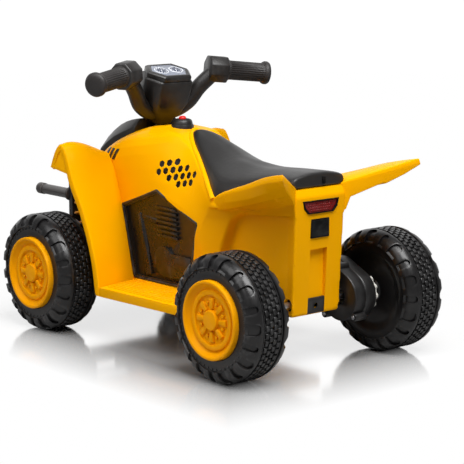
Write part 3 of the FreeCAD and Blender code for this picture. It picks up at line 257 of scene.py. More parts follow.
class QuadStudio(bpy.types.PropertyGroup):
    """Camera and light."""

    camera_place: bpy.props.FloatVectorProperty(
        name="Camera place", description="Where the camera stands",
        subtype="TRANSLATION", unit="LENGTH", size=3, default=(-2.190525, 1.8098, 0.6764))
    camera_target: bpy.props.FloatVectorProperty(
        name="Camera target", description="Point that the camera looks at",
        subtype="TRANSLATION", unit="LENGTH", size=3, default=(-0.059225, 0.0, 0.1852))
    camera_lens: bpy.props.FloatProperty(
        name="Camera lens", description="Focal length in millimetres", min=10, default=134.1)
    rear_power: bpy.props.FloatProperty(
        name="Rear power", description="Power of the soft box behind the tail",
        subtype="POWER", min=0, default=94)
    top_power: bpy.props.FloatProperty(
        name="Top power", description="Power of the overhead soft box",
        subtype="POWER", min=0, default=27)
    ambient: bpy.props.FloatProperty(
        name="Ambient", description="Strength of the light from all round", min=0, default=0.13)


# Points and sections

def mm(x, y, z):
    """A point of the section tables in metres of the shared frame."""
    return Vector(((x + SHIFT_X) / 1000, y / 1000, z / 1000))


def around(count):
    """Angles of even steps round a circle."""
    return [math.tau * k / count for k in range(count)]


def circle(radius, count):
    """Pairs that lie on a circle round zero."""
    return [(radius * math.cos(t), radius * math.sin(t)) for t in around(count)]


def linear(colour):
    """Scene linear values of a display colour, with an alpha."""
    return [c / 12.92 if c <= 0.04045 else ((c + 0.055) / 1.055) ** 2.4 for c in colour] + [1]


def flow(points, steps):
    """A smooth line through points of any dimension, steps to each span."""
    line = []
    last = len(points) - 1
    for i in range(last):
        before = points[max(i - 1, 0)]
        after = points[min(i + 2, last)]
        for k in range(steps):
            t = k / steps
            line.append([
                0.5 * (2 * q + (r - p) * t + (2 * p - 5 * q + 4 * r - s) * t ** 2
                       + (3 * q - p - 3 * r + s) * t ** 3)
                for p, q, r, s in zip(before, points[i], points[i + 1], after)])
    line.append(list(points[last]))
    return line


# Modelling by hand

def clear_selection():
    """Leaves edit mode and deselects everything."""
    if bpy.context.object and bpy.context.object.mode != "OBJECT":
        bpy.ops.object.mode_set(mode="OBJECT")
    bpy.ops.object.select_all(action="DESELECT")


def pick(obj):
    """Makes obj the only selected object."""
    clear_selection()
    obj.select_set(True)
    bpy.context.view_layer.objects.active = obj


def edit(obj, action="SELECT"):
    """Opens obj in edit mode with all of its mesh selected, or none."""
    pick(obj)
    bpy.ops.object.mode_set(mode="EDIT")
    bpy.ops.mesh.select_all(action=action)


def close_edit():
    """Goes back to object mode."""
    bpy.ops.object.mode_set(mode="OBJECT")


def drop(obj):
    """Removes a tool or template."""
    bpy.data.objects.remove(obj, do_unlink=True)


def named(name):
    """The primitive just added, with its place in its mesh."""
    obj = bpy.context.object
    obj.name = name
    obj.data.name = name
    bpy.ops.object.transform_apply(location=True, rotation=True, scale=True)
    return obj


def modify(obj, kind, **settings):
    """Adds one modifier and applies it."""
    pick(obj)
    mod = obj.modifiers.new(kind.lower(), kind)
    for key, value in settings.items():
        setattr(mod, key, value)
    bpy.ops.object.modifier_apply(modifier=mod.name)
    return obj


def rounded(obj, width, segments=2, angle=40):
    """Rounds the sharp edges of obj."""
    return modify(obj, "BEVEL", width=width, segments=segments, limit_method="ANGLE",
                  angle_limit=math.radians(angle), use_clamp_overlap=True)


def soften(obj, cell, passes, share):
    """Makes obj one even skin with soft edges, and keeps a share of its faces."""
    modify(obj, "REMESH", mode="VOXEL", voxel_size=cell, use_smooth_shade=True)
    modify(obj, "SMOOTH", factor=0.5, iterations=passes)
    modify(obj, "DECIMATE", ratio=share)


def combine(obj, other, operation="DIFFERENCE", solver="EXACT"):
    """Boolean of obj with other, which is then removed."""
    modify(obj, "BOOLEAN", operation=operation, object=other, solver=solver)
    drop(other)


def cut(obj, other):
    """Clean cut of one closed skin by another, which is then removed."""
    combine(obj, other, solver="MANIFOLD")


def joined(name, parts):
    """Joins parts into one piece."""
    clear_selection()
    for part in parts:
        part.select_set(True)
    bpy.context.view_layer.objects.active = parts[0]
    bpy.ops.object.join()
    obj = bpy.context.object
    obj.name = name
    obj.data.name = name
    return obj


def outward(obj):
    """Merges doubles and turns the faces outwards."""
    edit(obj)
    bpy.ops.mesh.remove_doubles(threshold=1e-6)
    bpy.ops.mesh.normals_make_consistent(inside=False)
    close_edit()
    return obj


def loft(name, rings):
    """A closed skin: a filled circle is extruded from ring to ring, and each new ring is put in its place."""
    bpy.ops.mesh.primitive_circle_add(vertices=len(rings[0]), fill_type="NGON")
    obj = named(name)
    edit(obj, "DESELECT")
    bm = bmesh.from_edit_mesh(obj.data)
    bm.verts.ensure_lookup_table()
    order = bm.verts.layers.int.new("order")
    for i, vert in enumerate(bm.verts):
        vert[order] = i
        vert.co = rings[0][i]
    for ring in rings[1:]:
        bpy.ops.mesh.select_all(action="DESELECT")
        bm = bmesh.from_edit_mesh(obj.data)
        bm.faces.ensure_lookup_table()
        cap = max((f for f in bm.faces if len(f.verts) == len(ring)), key=lambda f: f.index)
        cap.select_set(True)
        bmesh.update_edit_mesh(obj.data)
        bpy.ops.mesh.extrude_region_move()
        bm = bmesh.from_edit_mesh(obj.data)
        order = bm.verts.layers.int["order"]
        for vert in bm.verts:
            if vert.select:
                vert.co = ring[vert[order]]
        bm.faces.index_update()
        bmesh.update_edit_mesh(obj.data)
    close_edit()
    return outward(obj)


def skin(name, rows):
    """An open sheet whose grid of points lies on rows."""
    bpy.ops.mesh.primitive_grid_add(x_subdivisions=len(rows[0]) - 1, y_subdivisions=len(rows) - 1)
    obj = named(name)
    for vert, point in zip(obj.data.vertices, (p for row in rows for p in row)):
        vert.co = point
    return obj


def turned(name, profile, steps):
    """A solid of revolution about Y: a closed profile of radius and y in mm is spun round the origin."""
    bpy.ops.mesh.primitive_circle_add(vertices=len(profile), fill_type="NOTHING")
    obj = named(name)
    for vert, (radius, y) in zip(obj.data.vertices, profile):
        vert.co = Vector((0, y / 1000, radius / 1000))
    edit(obj)
    bpy.ops.mesh.spin(steps=steps, angle=math.tau, center=(0, 0, 0), axis=ACROSS)
    close_edit()
    return outward(obj)


def box(name, low, high, edge=0.0, segments=2):
    """A block between two corners with rounded edges."""
    low = Vector(low)
    high = Vector(high)
    bpy.ops.mesh.primitive_cube_add(size=1, location=(low + high) / 2, scale=high - low)
    obj = named(name)
    if edge:
        edit(obj)
        bpy.ops.mesh.bevel(offset=edge, segments=segments, affect="EDGES")
        close_edit()
    return obj


def drum(name, centre, direction, radius, length, edge=0.0, sides=32):
    """A cylinder along direction with rounded rims."""
    turn = Vector(direction).to_track_quat("Z", "Y").to_euler()
    bpy.ops.mesh.primitive_cylinder_add(vertices=sides, radius=radius, depth=length, location=centre,
                                        rotation=turn)
    obj = named(name)
    return rounded(obj, edge) if edge else obj


def prism(name, outline, low, high, axis):
    """A straight body: an outline of two coordinates drawn from low to high along an axis, in metres."""
    return loft(name, [[Vector((*pair[:axis], level, *pair[axis:])) for pair in outline]
                       for level in sorted((low, high))])


def slab(name, outline, low, high):
    """A straight body across the vehicle: an outline of x and z drawn from low to high along y, in mm."""
    return prism(name, [((x + SHIFT_X) / 1000, z / 1000) for x, z in outline], low / 1000, high / 1000, 1)


def tube(name, points, radius, steps, sides):
    """A round bar along a smooth line through points."""
    line = [Vector(p) for p in flow(points, steps)]
    rings = []
    side = None
    for i, p in enumerate(line):
        ahead = (line[min(i + 1, len(line) - 1)] - line[max(i - 1, 0)]).normalized()
        if side is None:
            side = ahead.orthogonal().normalized()
        side = (side - ahead * side.dot(ahead)).normalized()
        up = ahead.cross(side)
        rings.append([p + radius * (math.cos(t) * side + math.sin(t) * up) for t in around(sides)])
    return loft(name, rings)


def turned_copy(obj, matrix, name):
    """A copy of obj with its own mesh, moved by matrix."""
    dup = bpy.data.objects.new(name, obj.data.copy())
    bpy.context.scene.collection.objects.link(dup)
    dup.data.transform(matrix)
    if matrix.determinant() < 0:
        dup.data.flip_normals()
    return dup


def ring_of(obj, count, offset=0.0, width=0.0):
    """Copies of obj at even steps round the axle, turned by offset steps and moved out by width mm."""
    out = Matrix.Translation((0, width / 1000, 0))
    turns = [math.radians(360 / count * (k + offset)) for k in range(count)]
    return [turned_copy(obj, out @ Matrix.Rotation(turn, 4, "Y"), obj.name) for turn in turns]


def node_copy(node, edge):
    """A copy of a CAD solid with merged faces and rounded edges."""
    obj = bpy.data.objects.new(node + "_dressed", NODES[node].data.copy())
    bpy.context.scene.collection.objects.link(obj)
    obj.data.materials.clear()
    edit(obj)
    bpy.ops.mesh.remove_doubles(threshold=2e-6)
    bpy.ops.mesh.dissolve_limited(angle_limit=math.radians(0.6))
    close_edit()
    return rounded(obj, edge, 2, 28)


def node_middle(node):
    """Middle of a CAD solid's box."""
    corners = [NODES[node].matrix_world @ Vector(c) for c in NODES[node].bound_box]
    return sum(corners, Vector()) / 8


def settle(obj, body, slot, nodes=(), smooth=32, look=None):
    """Gives a finished piece its shading, its slot's finish or another look, its body and its nodes."""
    pick(obj)
    bpy.ops.object.transform_apply(location=True, rotation=True, scale=True)
    if "order" in obj.data.attributes:
        obj.data.attributes.remove(obj.data.attributes["order"])
    bpy.ops.object.shade_smooth_by_angle(angle=math.radians(smooth))
    obj.data.materials.clear()
    obj.data.materials.append(finish(look or SLOT_FINISH.get(slot, slot)))
    if nodes:
        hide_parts(*nodes)
    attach(obj, body)


# Shader nodes and the shared effects of the finishes

def grey(value):
    """A plain grey with an alpha."""
    return value, value, value, 1


def feed(tree, socket, value):
    """Links value to socket, or sets it there if it is a plain number or colour."""
    if isinstance(value, bpy.types.NodeSocket):
        tree.links.new(value, socket)
    else:
        socket.default_value = value


def shader_node(tree, kind, feeds, **settings):
    """A new node with its settings, and with its inputs fed by label or number."""
    new = tree.nodes.new(kind)
    for key, value in settings.items():
        setattr(new, key, value)
    for key, value in feeds.items():
        feed(tree, new.inputs[key], value)
    return new


def shader(tree, kind, feeds):
    """Output of a new shader."""
    return shader_node(tree, kind, feeds).outputs[0]


def noise(tree, vector, scale, detail=3.0, rough=0.5):
    """Noise whose scale is a number or a socket."""
    feeds = {"Vector": vector, "Scale": scale, "Detail": detail, "Roughness": rough}
    return shader_node(tree, "ShaderNodeTexNoise", feeds).outputs["Fac"]


def spread(tree, value, low, high, to_low=0.0, to_high=1.0):
    """Maps value from one range to another; a range end may be a socket."""
    feeds = {"Value": value, "From Min": low, "From Max": high, "To Min": to_low, "To Max": to_high}
    return shader_node(tree, "ShaderNodeMapRange", feeds).outputs["Result"]


def calc(tree, operation, *values):
    """Arithmetic with sockets and numbers."""
    return shader_node(tree, "ShaderNodeMath", dict(enumerate(values)), operation=operation).outputs[0]


def times(tree, product, *factors):
    """Product of sockets and numbers."""
    for factor in factors:
        product = calc(tree, "MULTIPLY", product, factor)
    return product


def mixed(tree, factor, a, b):
    """Colour mix; a and b are sockets or colours."""
    return shader_node(tree, "ShaderNodeMix", {0: factor, 6: a, 7: b}, data_type="RGBA").outputs[2]


def effect(name, inputs, outputs):
    """An empty shader node group with its sockets; the kind of an input follows from its value."""
    group = bpy.data.node_groups.new(name, "ShaderNodeTree")
    for label, value in inputs.items():
        kind = "Vector" if value is None else "Float" if isinstance(value, float) else "Color"
        socket = group.interface.new_socket(label, in_out="INPUT", socket_type="NodeSocket" + kind)
        if value is not None:
            socket.default_value = value
    for label, kind in outputs.items():
        group.interface.new_socket(label, in_out="OUTPUT", socket_type="NodeSocket" + kind)
    return group, group.nodes.new("NodeGroupInput").outputs, group.nodes.new("NodeGroupOutput").inputs


def moulded_effect():
    """Colour drift, gloss drift, fine grain and pale worn edges of moulded plastic."""
    group, take, give = effect(
        "moulded_plastic",
        {"Vector": None, "Colour": grey(0.5), "Worn colour": grey(0.6), "Drift": 0.1, "Wear": 0.2,
         "Gloss low": 0.2, "Gloss high": 0.35, "Grain scale": PLAIN_GRAIN},
        {"Colour": "Color", "Roughness": "Float", "Height": "Float"})
    vector = take["Vector"]
    shade = times(group, spread(group, noise(group, vector, 7.0), 0.3, 0.7, -1.0, 1.0), take["Drift"])
    dark = mixed(group, calc(group, "MAXIMUM", shade, 0.0), take["Colour"], grey(0.0))
    geometry = group.nodes.new("ShaderNodeNewGeometry")
    edge = spread(group, geometry.outputs["Pointiness"], 0.52, 0.60)
    patchy = spread(group, noise(group, vector, 60.0, 4.0), 0.42, 0.62)
    wear = times(group, edge, patchy, take["Wear"])
    gloss = times(group, noise(group, vector, 16.0, 4.0, 0.6), 0.75)
    scratch = times(group, noise(group, vector, 240.0, 2.0), 0.25)
    haze = calc(group, "ADD", gloss, scratch)
    grain = noise(group, vector, take["Grain scale"], 2.0)
    ripple = times(group, noise(group, vector, 24.0, 2.0), 1.5)
    feed(group, give["Colour"], mixed(group, wear, dark, take["Worn colour"]))
    feed(group, give["Roughness"], spread(group, haze, 0.3, 0.7, take["Gloss low"], take["Gloss high"]))
    feed(group, give["Height"], calc(group, "ADD", grain, ripple))
    return group


def dust_effect():
    """Pale road dust that gathers low down."""
    group, take, give = effect(
        "road_dust",
        {"Vector": None, "Colour": grey(0.1), "Dust colour": (0.24, 0.22, 0.2, 1), "Amount": 0.2,
         "Top": 0.12},
        {"Colour": "Color", "Mask": "Float"})
    split = shader_node(group, "ShaderNodeSeparateXYZ", {0: take["Vector"]})
    low = spread(group, split.outputs["Z"], 0.0, take["Top"], 1.0, 0.0)
    patchy = spread(group, noise(group, take["Vector"], 38.0, 5.0, 0.6), 0.4, 0.68)
    mask = times(group, low, patchy, take["Amount"])
    feed(group, give["Colour"], mixed(group, mask, take["Colour"], take["Dust colour"]))
    feed(group, give["Mask"], mask)
    return group


def finish(name):
    """The material of a finish, made when it is first asked for."""
    title = "finish_" + name
    if title in bpy.data.materials:
        return bpy.data.materials[title]
    colour, smoothest, roughest, drift, wear, bump, other = FINISHES[name]
    if isinstance(colour, str):
        colour = getattr(bpy.context.scene.quad_colours, colour)
    base = linear(colour)
    worn = [min(1.0, c + WORN_LIFT * (1 - c)) for c in base[:3]] + [1]
    if "worn" in other:
        worn = linear(other["worn"])
    material = bpy.data.materials.new(title)
    material.use_nodes = True
    tree = material.node_tree
    groups = bpy.data.node_groups
    coords = tree.nodes.new("ShaderNodeTexCoord").outputs["Object"]
    plastic = shader_node(
        tree, "ShaderNodeGroup",
        {"Vector": coords, "Colour": base, "Worn colour": worn, "Drift": drift, "Wear": wear,
         "Gloss low": smoothest, "Gloss high": roughest, "Grain scale": other.get("grain", PLAIN_GRAIN)},
        node_tree=groups.get("moulded_plastic") or moulded_effect()).outputs
    shown = plastic["Colour"]
    if "dust" in other:
        shown = shader_node(
            tree, "ShaderNodeGroup", {"Vector": coords, "Colour": shown, "Amount": other["dust"]},
            node_tree=groups.get("road_dust") or dust_effect()).outputs["Colour"]
    relief = shader_node(tree, "ShaderNodeBump",
                         {"Strength": bump, "Distance": BUMP_DEPTH, "Height": plastic["Height"]})
    feeds = {"Base Color": shown, "Roughness": plastic["Roughness"], "Normal": relief.outputs["Normal"]}
    feeds.update(other.get("shader", {}))
    for label, value in feeds.items():
        feed(tree, tree.nodes["Principled BSDF"].inputs[label], value)
    return material


# Body moulding

HULL_SPANS = flow([[x] + [c for pair in half for c in pair] for x, *half in HULL], 5)


def hull_rings(inset):
    """Closed rings of the body from nose to tail, moved in by inset mm and then open below."""
    rings = []
    for i, (x, *flat) in enumerate(HULL_SPANS):
        half = [(max(flat[k] - inset, 2), flat[k + 1] - inset) for k in range(0, len(flat), 2)]
        low_y, low_z = half[0]
        foot = low_z - 40 if inset else low_z
        half[0] = (low_y, foot)
        ridge = [(0, half[-1][1] + CROWN_RISE)]
        line = flow(half + ridge + [(-y, z) for y, z in reversed(half)], 4)
        line += [[-low_y / 3, foot], [low_y / 3, foot]]
        rings.append([mm(x - (0 if i else inset), y, z) for y, z in line])
    return rings


def above_seat(sink):
    """Block over the seat line."""
    line = [(x, z - sink) for x, z in SEAT_LINE]
    outline = [(90, 349 - sink)] + line + [(-322, 420), (90, 420)]
    return slab("above_seat", outline, -BLOCK_Y, BLOCK_Y)


def behind_tail(inset):
    """Block behind the tail face."""
    outline = [(x + inset, z) for x, z in TAIL] + [(-400, 340), (-400, 40)]
    return slab("behind_tail", outline, -BLOCK_Y, BLOCK_Y)


def wheel_well(side, inset):
    """Hollow beside the tail for a rear wheel."""
    rings = []
    roof = WELL[-1][0]
    for z, ridge, arch in flow(WELL, 4):
        top = z + (inset if z == roof else 0)
        plan = ((ridge, 82), (arch - 7, 65), (arch - 11, 47), (-236, 47), (-262, 53), (-420, 53), (-420, 140),
                (ridge, 140))
        rings.append([mm(x + inset, side * (y - inset), top) for x, y in plan])
    return loft("wheel_well", rings)


def wing_rings(side, grow=0.0):
    """Sections of a rear wing, with its upper face raised by grow mm."""
    rings = []
    for x, swing, low, lip_y, lip_z, ridge_y, ridge_z, rim, root in flow(WING, 5):
        bulge = 0.22 * (ridge_y - lip_y) * max(0.0, min(1.0, (250 + x) / 50))
        middle = (lip_y + 0.55 * (ridge_y - lip_y) + bulge,
                  lip_z + 0.5 * (ridge_z - rim - lip_z) - 0.6 * bulge)
        section = ((43, low), (54, low), (60, low + 0.5 * (lip_z - low)), (lip_y - 4, lip_z + 1),
                   (lip_y, lip_z), middle, (ridge_y, ridge_z - rim), (ridge_y - 2, ridge_z + grow),
                   (43, root + grow))
        rings.append([mm(x + swing * (y - 57), side * y, z) for y, z in section])
    return rings


def half_outline(x):
    """Half section of the hull at x, as points of y and z from the sill to the crown."""
    row = HULL_SPANS[-1]
    for fore, aft in zip(HULL_SPANS, HULL_SPANS[1:]):
        if fore[0] >= x >= aft[0]:
            share = (fore[0] - x) / (fore[0] - aft[0])
            row = [p + (q - p) * share for p, q in zip(fore, aft)]
    half = [(row[i], row[i + 1]) for i in range(1, len(row), 2)]
    return flow(half + [(0, half[-1][1] + CROWN_RISE)], 6)


def flank(x, z, side, proud=0.0):
    """A point on the hull's flank at x and z in mm, which stands proud of it by so many mm."""
    line = half_outline(x)
    half_width = line[-1][0]
    for (ya, za), (yb, zb) in zip(line, line[1:]):
        if za <= z <= zb and zb > za:
            half_width = ya + (yb - ya) * (z - za) / (zb - za)
            break
    return mm(x, side * (half_width + proud), z)


def vent_row(name, side, radius, near, far):
    """Hexagon bars through all the vents of one side, from near to far mm inside the flank."""
    hexagon = [math.radians(60 * k + 30) for k in range(6)]
    bars = []
    for row, (count, first) in enumerate(VENT_ROWS):
        for step in (first + k for k in range(count)):
            x, z = (a + step * b + row * c for a, b, c in zip(VENT_FIRST, VENT_STEP, VENT_ROW_STEP))
            corners = [(x + radius * math.cos(t), z + radius * math.sin(t)) for t in hexagon]
            bars.append(loft("bar", [[flank(cx, cz, side, -depth) for cx, cz in corners]
                                     for depth in (far, near)]))
    return joined(name, bars)


def lamp_bar(name, inset, aft, fore):
    """Straight bar with the tail lamp's outline, inset mm inside it, between two x places."""
    outline = [((y - math.copysign(inset * 1.5, y)) / 1000,
                (z - math.copysign(inset, z - LAMP_MIDDLE_Z)) / 1000) for y, z in LAMP]
    return prism(name, outline, (SHIFT_X + aft) / 1000, (SHIFT_X + fore) / 1000, 0)


class QUAD_OT_body(bpy.types.Operator):
    """Hollow body moulding with its rear wings, openings and vents"""

    bl_idname = "quad.body"
    bl_label = "Body"

    def execute(self, context):
        sizes = context.scene.quad_sizes
        hull = self.outside(sizes.skin_voxel)
        cut(hull, self.inside(sizes.skin_wall * 1000))
        cut(hull, box("channel", mm(-290, -18, 60), mm(-246.5, 18, 187)))
        cut(hull, lamp_bar("lamp_pocket", 0, -290, -249))
        cut(hull, drum("column_hole", mm(*COLUMN_HOLE), RISE, radius=0.016, length=0.12))
        cut(hull, drum("axle_hole", mm(-AXLE_X, 0, AXLE_Z), ACROSS, radius=0.0105, length=0.16))
        cut(hull, drum("motor_hole", node_middle("motor"), ACROSS, radius=0.018, length=0.08))
        for side, word in SIDES:
            cut(hull, slab("engine_recess", OPENING, side * 50, side * 120))
            corners = [flank(x, z, side, -1.2) for x, z in OPENING]
            lines = [tube("edge", [a, (a + b) / 2, b], FOLD_RADIUS, 2, 8)
                     for a, b in zip(corners, corners[1:] + corners[:1])]
            settle(joined("engine_rim_" + word, lines), "chassis", "trim_black", smooth=50)
            cut(hull, vent_row("vent_cutter", side, radius=6.2, near=-6, far=14))
            # Near-black hexagon blocks just inside the vent holes: painted shade that stands in for the dark
            # inside of the hollow body.
            painted_vent_shade = vent_row("vent_shade_block_" + word, side, radius=6.4, near=1.5, far=7)
            settle(painted_vent_shade, "chassis", "trim_black", look="deep_black")
        settle(hull, "chassis", "body_yellow", ("body_shell",), 40)
        self.rim()
        self.stripes()
        return {"FINISHED"}

    def outside(self, cell):
        """Outer skin with soft edges, joined to the crisp wings."""
        hull = loft("body_moulding", hull_rings(0))
        combine(hull, above_seat(0))
        combine(hull, behind_tail(0))
        for side, _ in SIDES:
            combine(hull, wheel_well(side, 0))
        soften(hull, cell, passes=8, share=0.5)
        for side, _ in SIDES:
            wing = rounded(loft("wing", wing_rings(side)), 0.0022, 3, 24)
            combine(hull, wing, "UNION", "MANIFOLD")
        return hull

    def inside(self, wall):
        """Room inside the body, a wall away from the outer skin."""
        core = loft("core", hull_rings(wall))
        combine(core, above_seat(wall))
        combine(core, behind_tail(wall + 6))
        for side, _ in SIDES:
            combine(core, wheel_well(side, wall))
        return core

    def rim(self):
        """Raised edge of the body round the front of the seat."""
        left = [(x, y + 1.5, z + 1.5) for x, y, z, *_ in SEAT[:6]]
        line = [(x, -y, z) for x, y, z in reversed(left)] + [(47, 0, 346)] + left
        rim = tube("seat_rim", [mm(*p) for p in line], 0.0045, 5, 10)
        settle(rim, "chassis", "body_yellow", smooth=60)

    def stripes(self):
        """Slanting stripes on the bonnet's shoulders."""
        for side, word in SIDES:
            bands = []
            for x, z, share in STRIPES:
                rows = [[flank(x + across - STRIPE_LEAN * rise, z + rise * share, side, proud=0.5)
                         for across in (0, 3, 6)] for rise in range(0, 26, 5)]
                band = modify(skin("band", rows), "SOLIDIFY", thickness=0.0009, offset=0)
                bands.append(outward(band))
            settle(joined("bonnet_stripes_" + word, bands), "chassis", "trim_black")


class QUAD_OT_seat(bpy.types.Operator):
    """Moulded saddle"""

    bl_idname = "quad.seat"
    bl_label = "Seat"

    def execute(self, context):
        rings = []
        for x, edge_y, edge_z, crown_y, crown_z, top in flow(SEAT, 4):
            side_y = edge_y - (edge_y - crown_y) * 0.28
            side_z = edge_z + (crown_z - edge_z) * 0.66
            half = [(edge_y, edge_z - 5), (edge_y, edge_z), (side_y, side_z), (crown_y, crown_z),
                    (crown_y * 0.45, top - 0.8)]
            line = half + [(0, top)] + [(-y, z) for y, z in reversed(half)]
            rings.append([mm(x, y, z) for y, z in flow(line, 3)])
        seat = loft("saddle", rings)
        below = [(60, 200), (60, 350)] + [(x, z + 0.3) for x, z in SEAT_LINE] + [(-340, 200)]
        combine(seat, slab("below_seat", below, -BLOCK_Y, BLOCK_Y))
        for side, _ in SIDES:
            combine(seat, loft("wing", wing_rings(side, 0.6)))
        soften(seat, context.scene.quad_sizes.skin_voxel, passes=4, share=0.6)
        settle(seat, "chassis", "seat_black", ("seat",), 60)
        return {"FINISHED"}


class QUAD_OT_fenders(bpy.types.Operator):
    """Front fenders with their leg shields"""

    bl_idname = "quad.fenders"
    bl_label = "Front fenders"

    def execute(self, context):
        sizes = context.scene.quad_sizes
        for side, word in SIDES:
            sheet = outward(skin("fender_" + word, self.rows(side, sizes.fender_flange * 1000)))
            modify(sheet, "SUBSURF", levels=1, render_levels=1)
            modify(sheet, "SOLIDIFY", thickness=sizes.fender_wall, offset=-1.0)
            rounded(sheet, 0.001, 2, 50)
            settle(sheet, "chassis", "body_yellow", ("front_fender_" + word,), 50)
            edge = [(row[3], row[5] - 1.5) for row in flow(FENDER, 5) if row[5] > 268]
            skirt = slab("fender_skirt_" + word, edge, side * 172.5, side * 176.5)
            settle(rounded(skirt, 0.001), "chassis", "body_yellow")
            fold = [flank(x, z, side, -0.4) for x, z in SHIELD_FOLD]
            strip = tube("shield_fold_" + word, fold, FOLD_RADIUS, 4, 10)
            settle(strip, "chassis", "body_yellow", smooth=60)
        return {"FINISHED"}

    def rows(self, side, flange):
        """Rows of points across a fender, crowned and with a rolled outer edge."""
        rows = []
        for row in flow(FENDER, 5):
            inner = Vector(row[0:3])
            outer = Vector(row[3:6])
            down = Vector((row[6], 0, row[7])).normalized()
            span = (outer - inner).normalized()
            crown = FENDER_CROWN * min(1.0, max(0.15, (outer.z - 200) / 124))
            spots = [inner + (outer - inner) * t - down * (crown * math.sin(math.pi * t ** 1.6))
                     for t in (0.0, 0.15, 0.3, 0.45, 0.6, 0.75, 0.87)]
            spots += [outer - span * 5, outer - span * 1.5 + down * 0.4, outer + down * 2.5,
                      outer + down * flange]
            rows.append([mm(p.x, side * p.y, p.z) for p in spots])
        return rows


# Wheels, modelled at the origin and then put in their places

def on_wheels(template, stem, slot, smooth):
    """Puts a copy of a template on each wheel and drops the template."""
    for fore, axle in AXLES:
        for side, word in SIDES:
            wheel = axle + "_" + word
            place = Matrix.Translation(mm(fore * AXLE_X, side * TYRE_Y, AXLE_Z))
            mirror = Matrix.Diagonal((1, side, 1, 1))
            piece = turned_copy(template, place @ mirror, stem + wheel + "_dressed")
            settle(piece, "wheel_" + wheel, slot, (stem + wheel,), smooth)
    drop(template)


class QUAD_OT_tyres(bpy.types.Operator):
    """Tyres with shoulder pads, notches, tread blocks and a ribbed sidewall"""

    bl_idname = "quad.tyres"
    bl_label = "Tyres"

    def execute(self, context):
        sizes = context.scene.quad_sizes
        parts = [self.carcass()]
        for face, sign, shift in ((0.0, 1, 0.0), (TYRE_WIDTH, -1, 0.5)):
            parts.append(self.shoulder(face, sign, sizes.shoulder_pads, shift))
        block = box("block", (-0.0041, -0.0029, 0.0945), (0.0041, 0.0029, 0.0991), 0.0007, 1)
        for row, width in enumerate(TREAD_ROWS):
            parts += ring_of(block, sizes.tread_blocks, 0.5 * (row % 2), width)
        drop(block)
        face = TYRE_WIDTH / 1000
        stud = box("stud", (-0.0014, face - 0.0025, 0.0738), (0.0014, face - 0.0002, 0.0768), 0.0005, 1)
        parts += ring_of(stud, 48)
        drop(stud)
        on_wheels(joined("tyre_template", parts), "tyre_", "tyre_black", 38)
        return {"FINISHED"}

    def carcass(self):
        """Plain tyre with its hub and the seat of the wheel disc."""
        outer = [(r, TYRE_WIDTH - w) for r, w in reversed(TYRE_HALF) if r > 62]
        seat = [(64, TYRE_WIDTH - 1.2), (61.8, TYRE_WIDTH - 1.8), (61.3, TYRE_WIDTH - 4), (61.3, 63),
                (5.2, 63)]
        return turned("tyre", [*TYRE_HUB, *TYRE_HALF, *outer, *seat], 120)

    def shoulder(self, face, sign, pads, shift):
        """Raised shoulder ring with large and small rounded recesses that open to the sidewall."""
        path = [Vector(p) for p in flow(SHOULDER, 2)]
        outer = []
        for i, p in enumerate(path):
            step = path[min(i + 1, len(path) - 1)] - path[max(i - 1, 0)]
            outer.append(p + Vector((step.y, -step.x)).normalized() * 3.6)
        line = outer + [p - Vector((-0.4, 0.9)) for p in reversed(path)]
        ring = turned("shoulder", [(p.y, face + sign * p.x) for p in line], 120)
        tools = []
        for half, reach, offset in ((8.8, 10.5, 0.0), (5.4, 8.5, 0.5)):
            tool = self.recess(face, sign, half, reach)
            tools += ring_of(tool, pads, shift + offset)
            drop(tool)
        cut(ring, joined("tools", tools))
        return rounded(ring, 0.0007)

    def recess(self, face, sign, half, reach):
        """Cutter with one round end towards the rib."""
        middle = Vector((0, (face + sign * 7.0) / 1000, 0.0914))
        rib = Vector((0, 0.69 * sign, 0.72))
        out = Vector((0, -0.72 * sign, 0.69))
        arc = [(-half * math.cos(t), reach - half + half * math.sin(t)) for t in around(20)[:11]]
        outline = [(-half * 1.1, -28)] + arc + [(half * 1.1, -28)]
        return loft("recess", [
            [middle + Vector((u / 1000, 0, 0)) + rib * (v / 1000) + out * (level / 1000) for u, v in outline]
            for level in (-3.4, 14)])


class QUAD_OT_discs(bpy.types.Operator):
    """Dished wheel discs with lugs and a centre cap"""

    bl_idname = "quad.discs"
    bl_label = "Wheel discs"

    def execute(self, context):
        front = [(r, DISC_FACE - depth) for r, depth in DISC_DEPTHS]
        parts = [turned("disc", [(61, RIM_SEAT), *front, (13, RIM_SEAT)], 96)]
        foot = ((-3.4, 17), (3.4, 17), (5.2, 34), (-5.2, 34))
        top = ((-3.0, 17.5), (3.0, 17.5), (4.6, 33.2), (-4.6, 33.2))
        lug = loft("lug", [[Vector((x, DISC_FACE - depth, r)) / 1000 for x, r in outline]
                           for outline, depth in ((foot, 11), (top, 5.6))])
        rounded(lug, 0.0009, 2, 30)
        parts += ring_of(lug, 8)
        drop(lug)
        nut = drum("nut", Vector((0, DISC_FACE - 8.6, 27)) / 1000, ACROSS, 0.0026, 0.004, 0.0006, 12)
        parts += ring_of(nut, 8, 0.5)
        drop(nut)
        on_wheels(joined("disc_template", parts), "wheel_disc_", "wheel_yellow", 35)
        return {"FINISHED"}


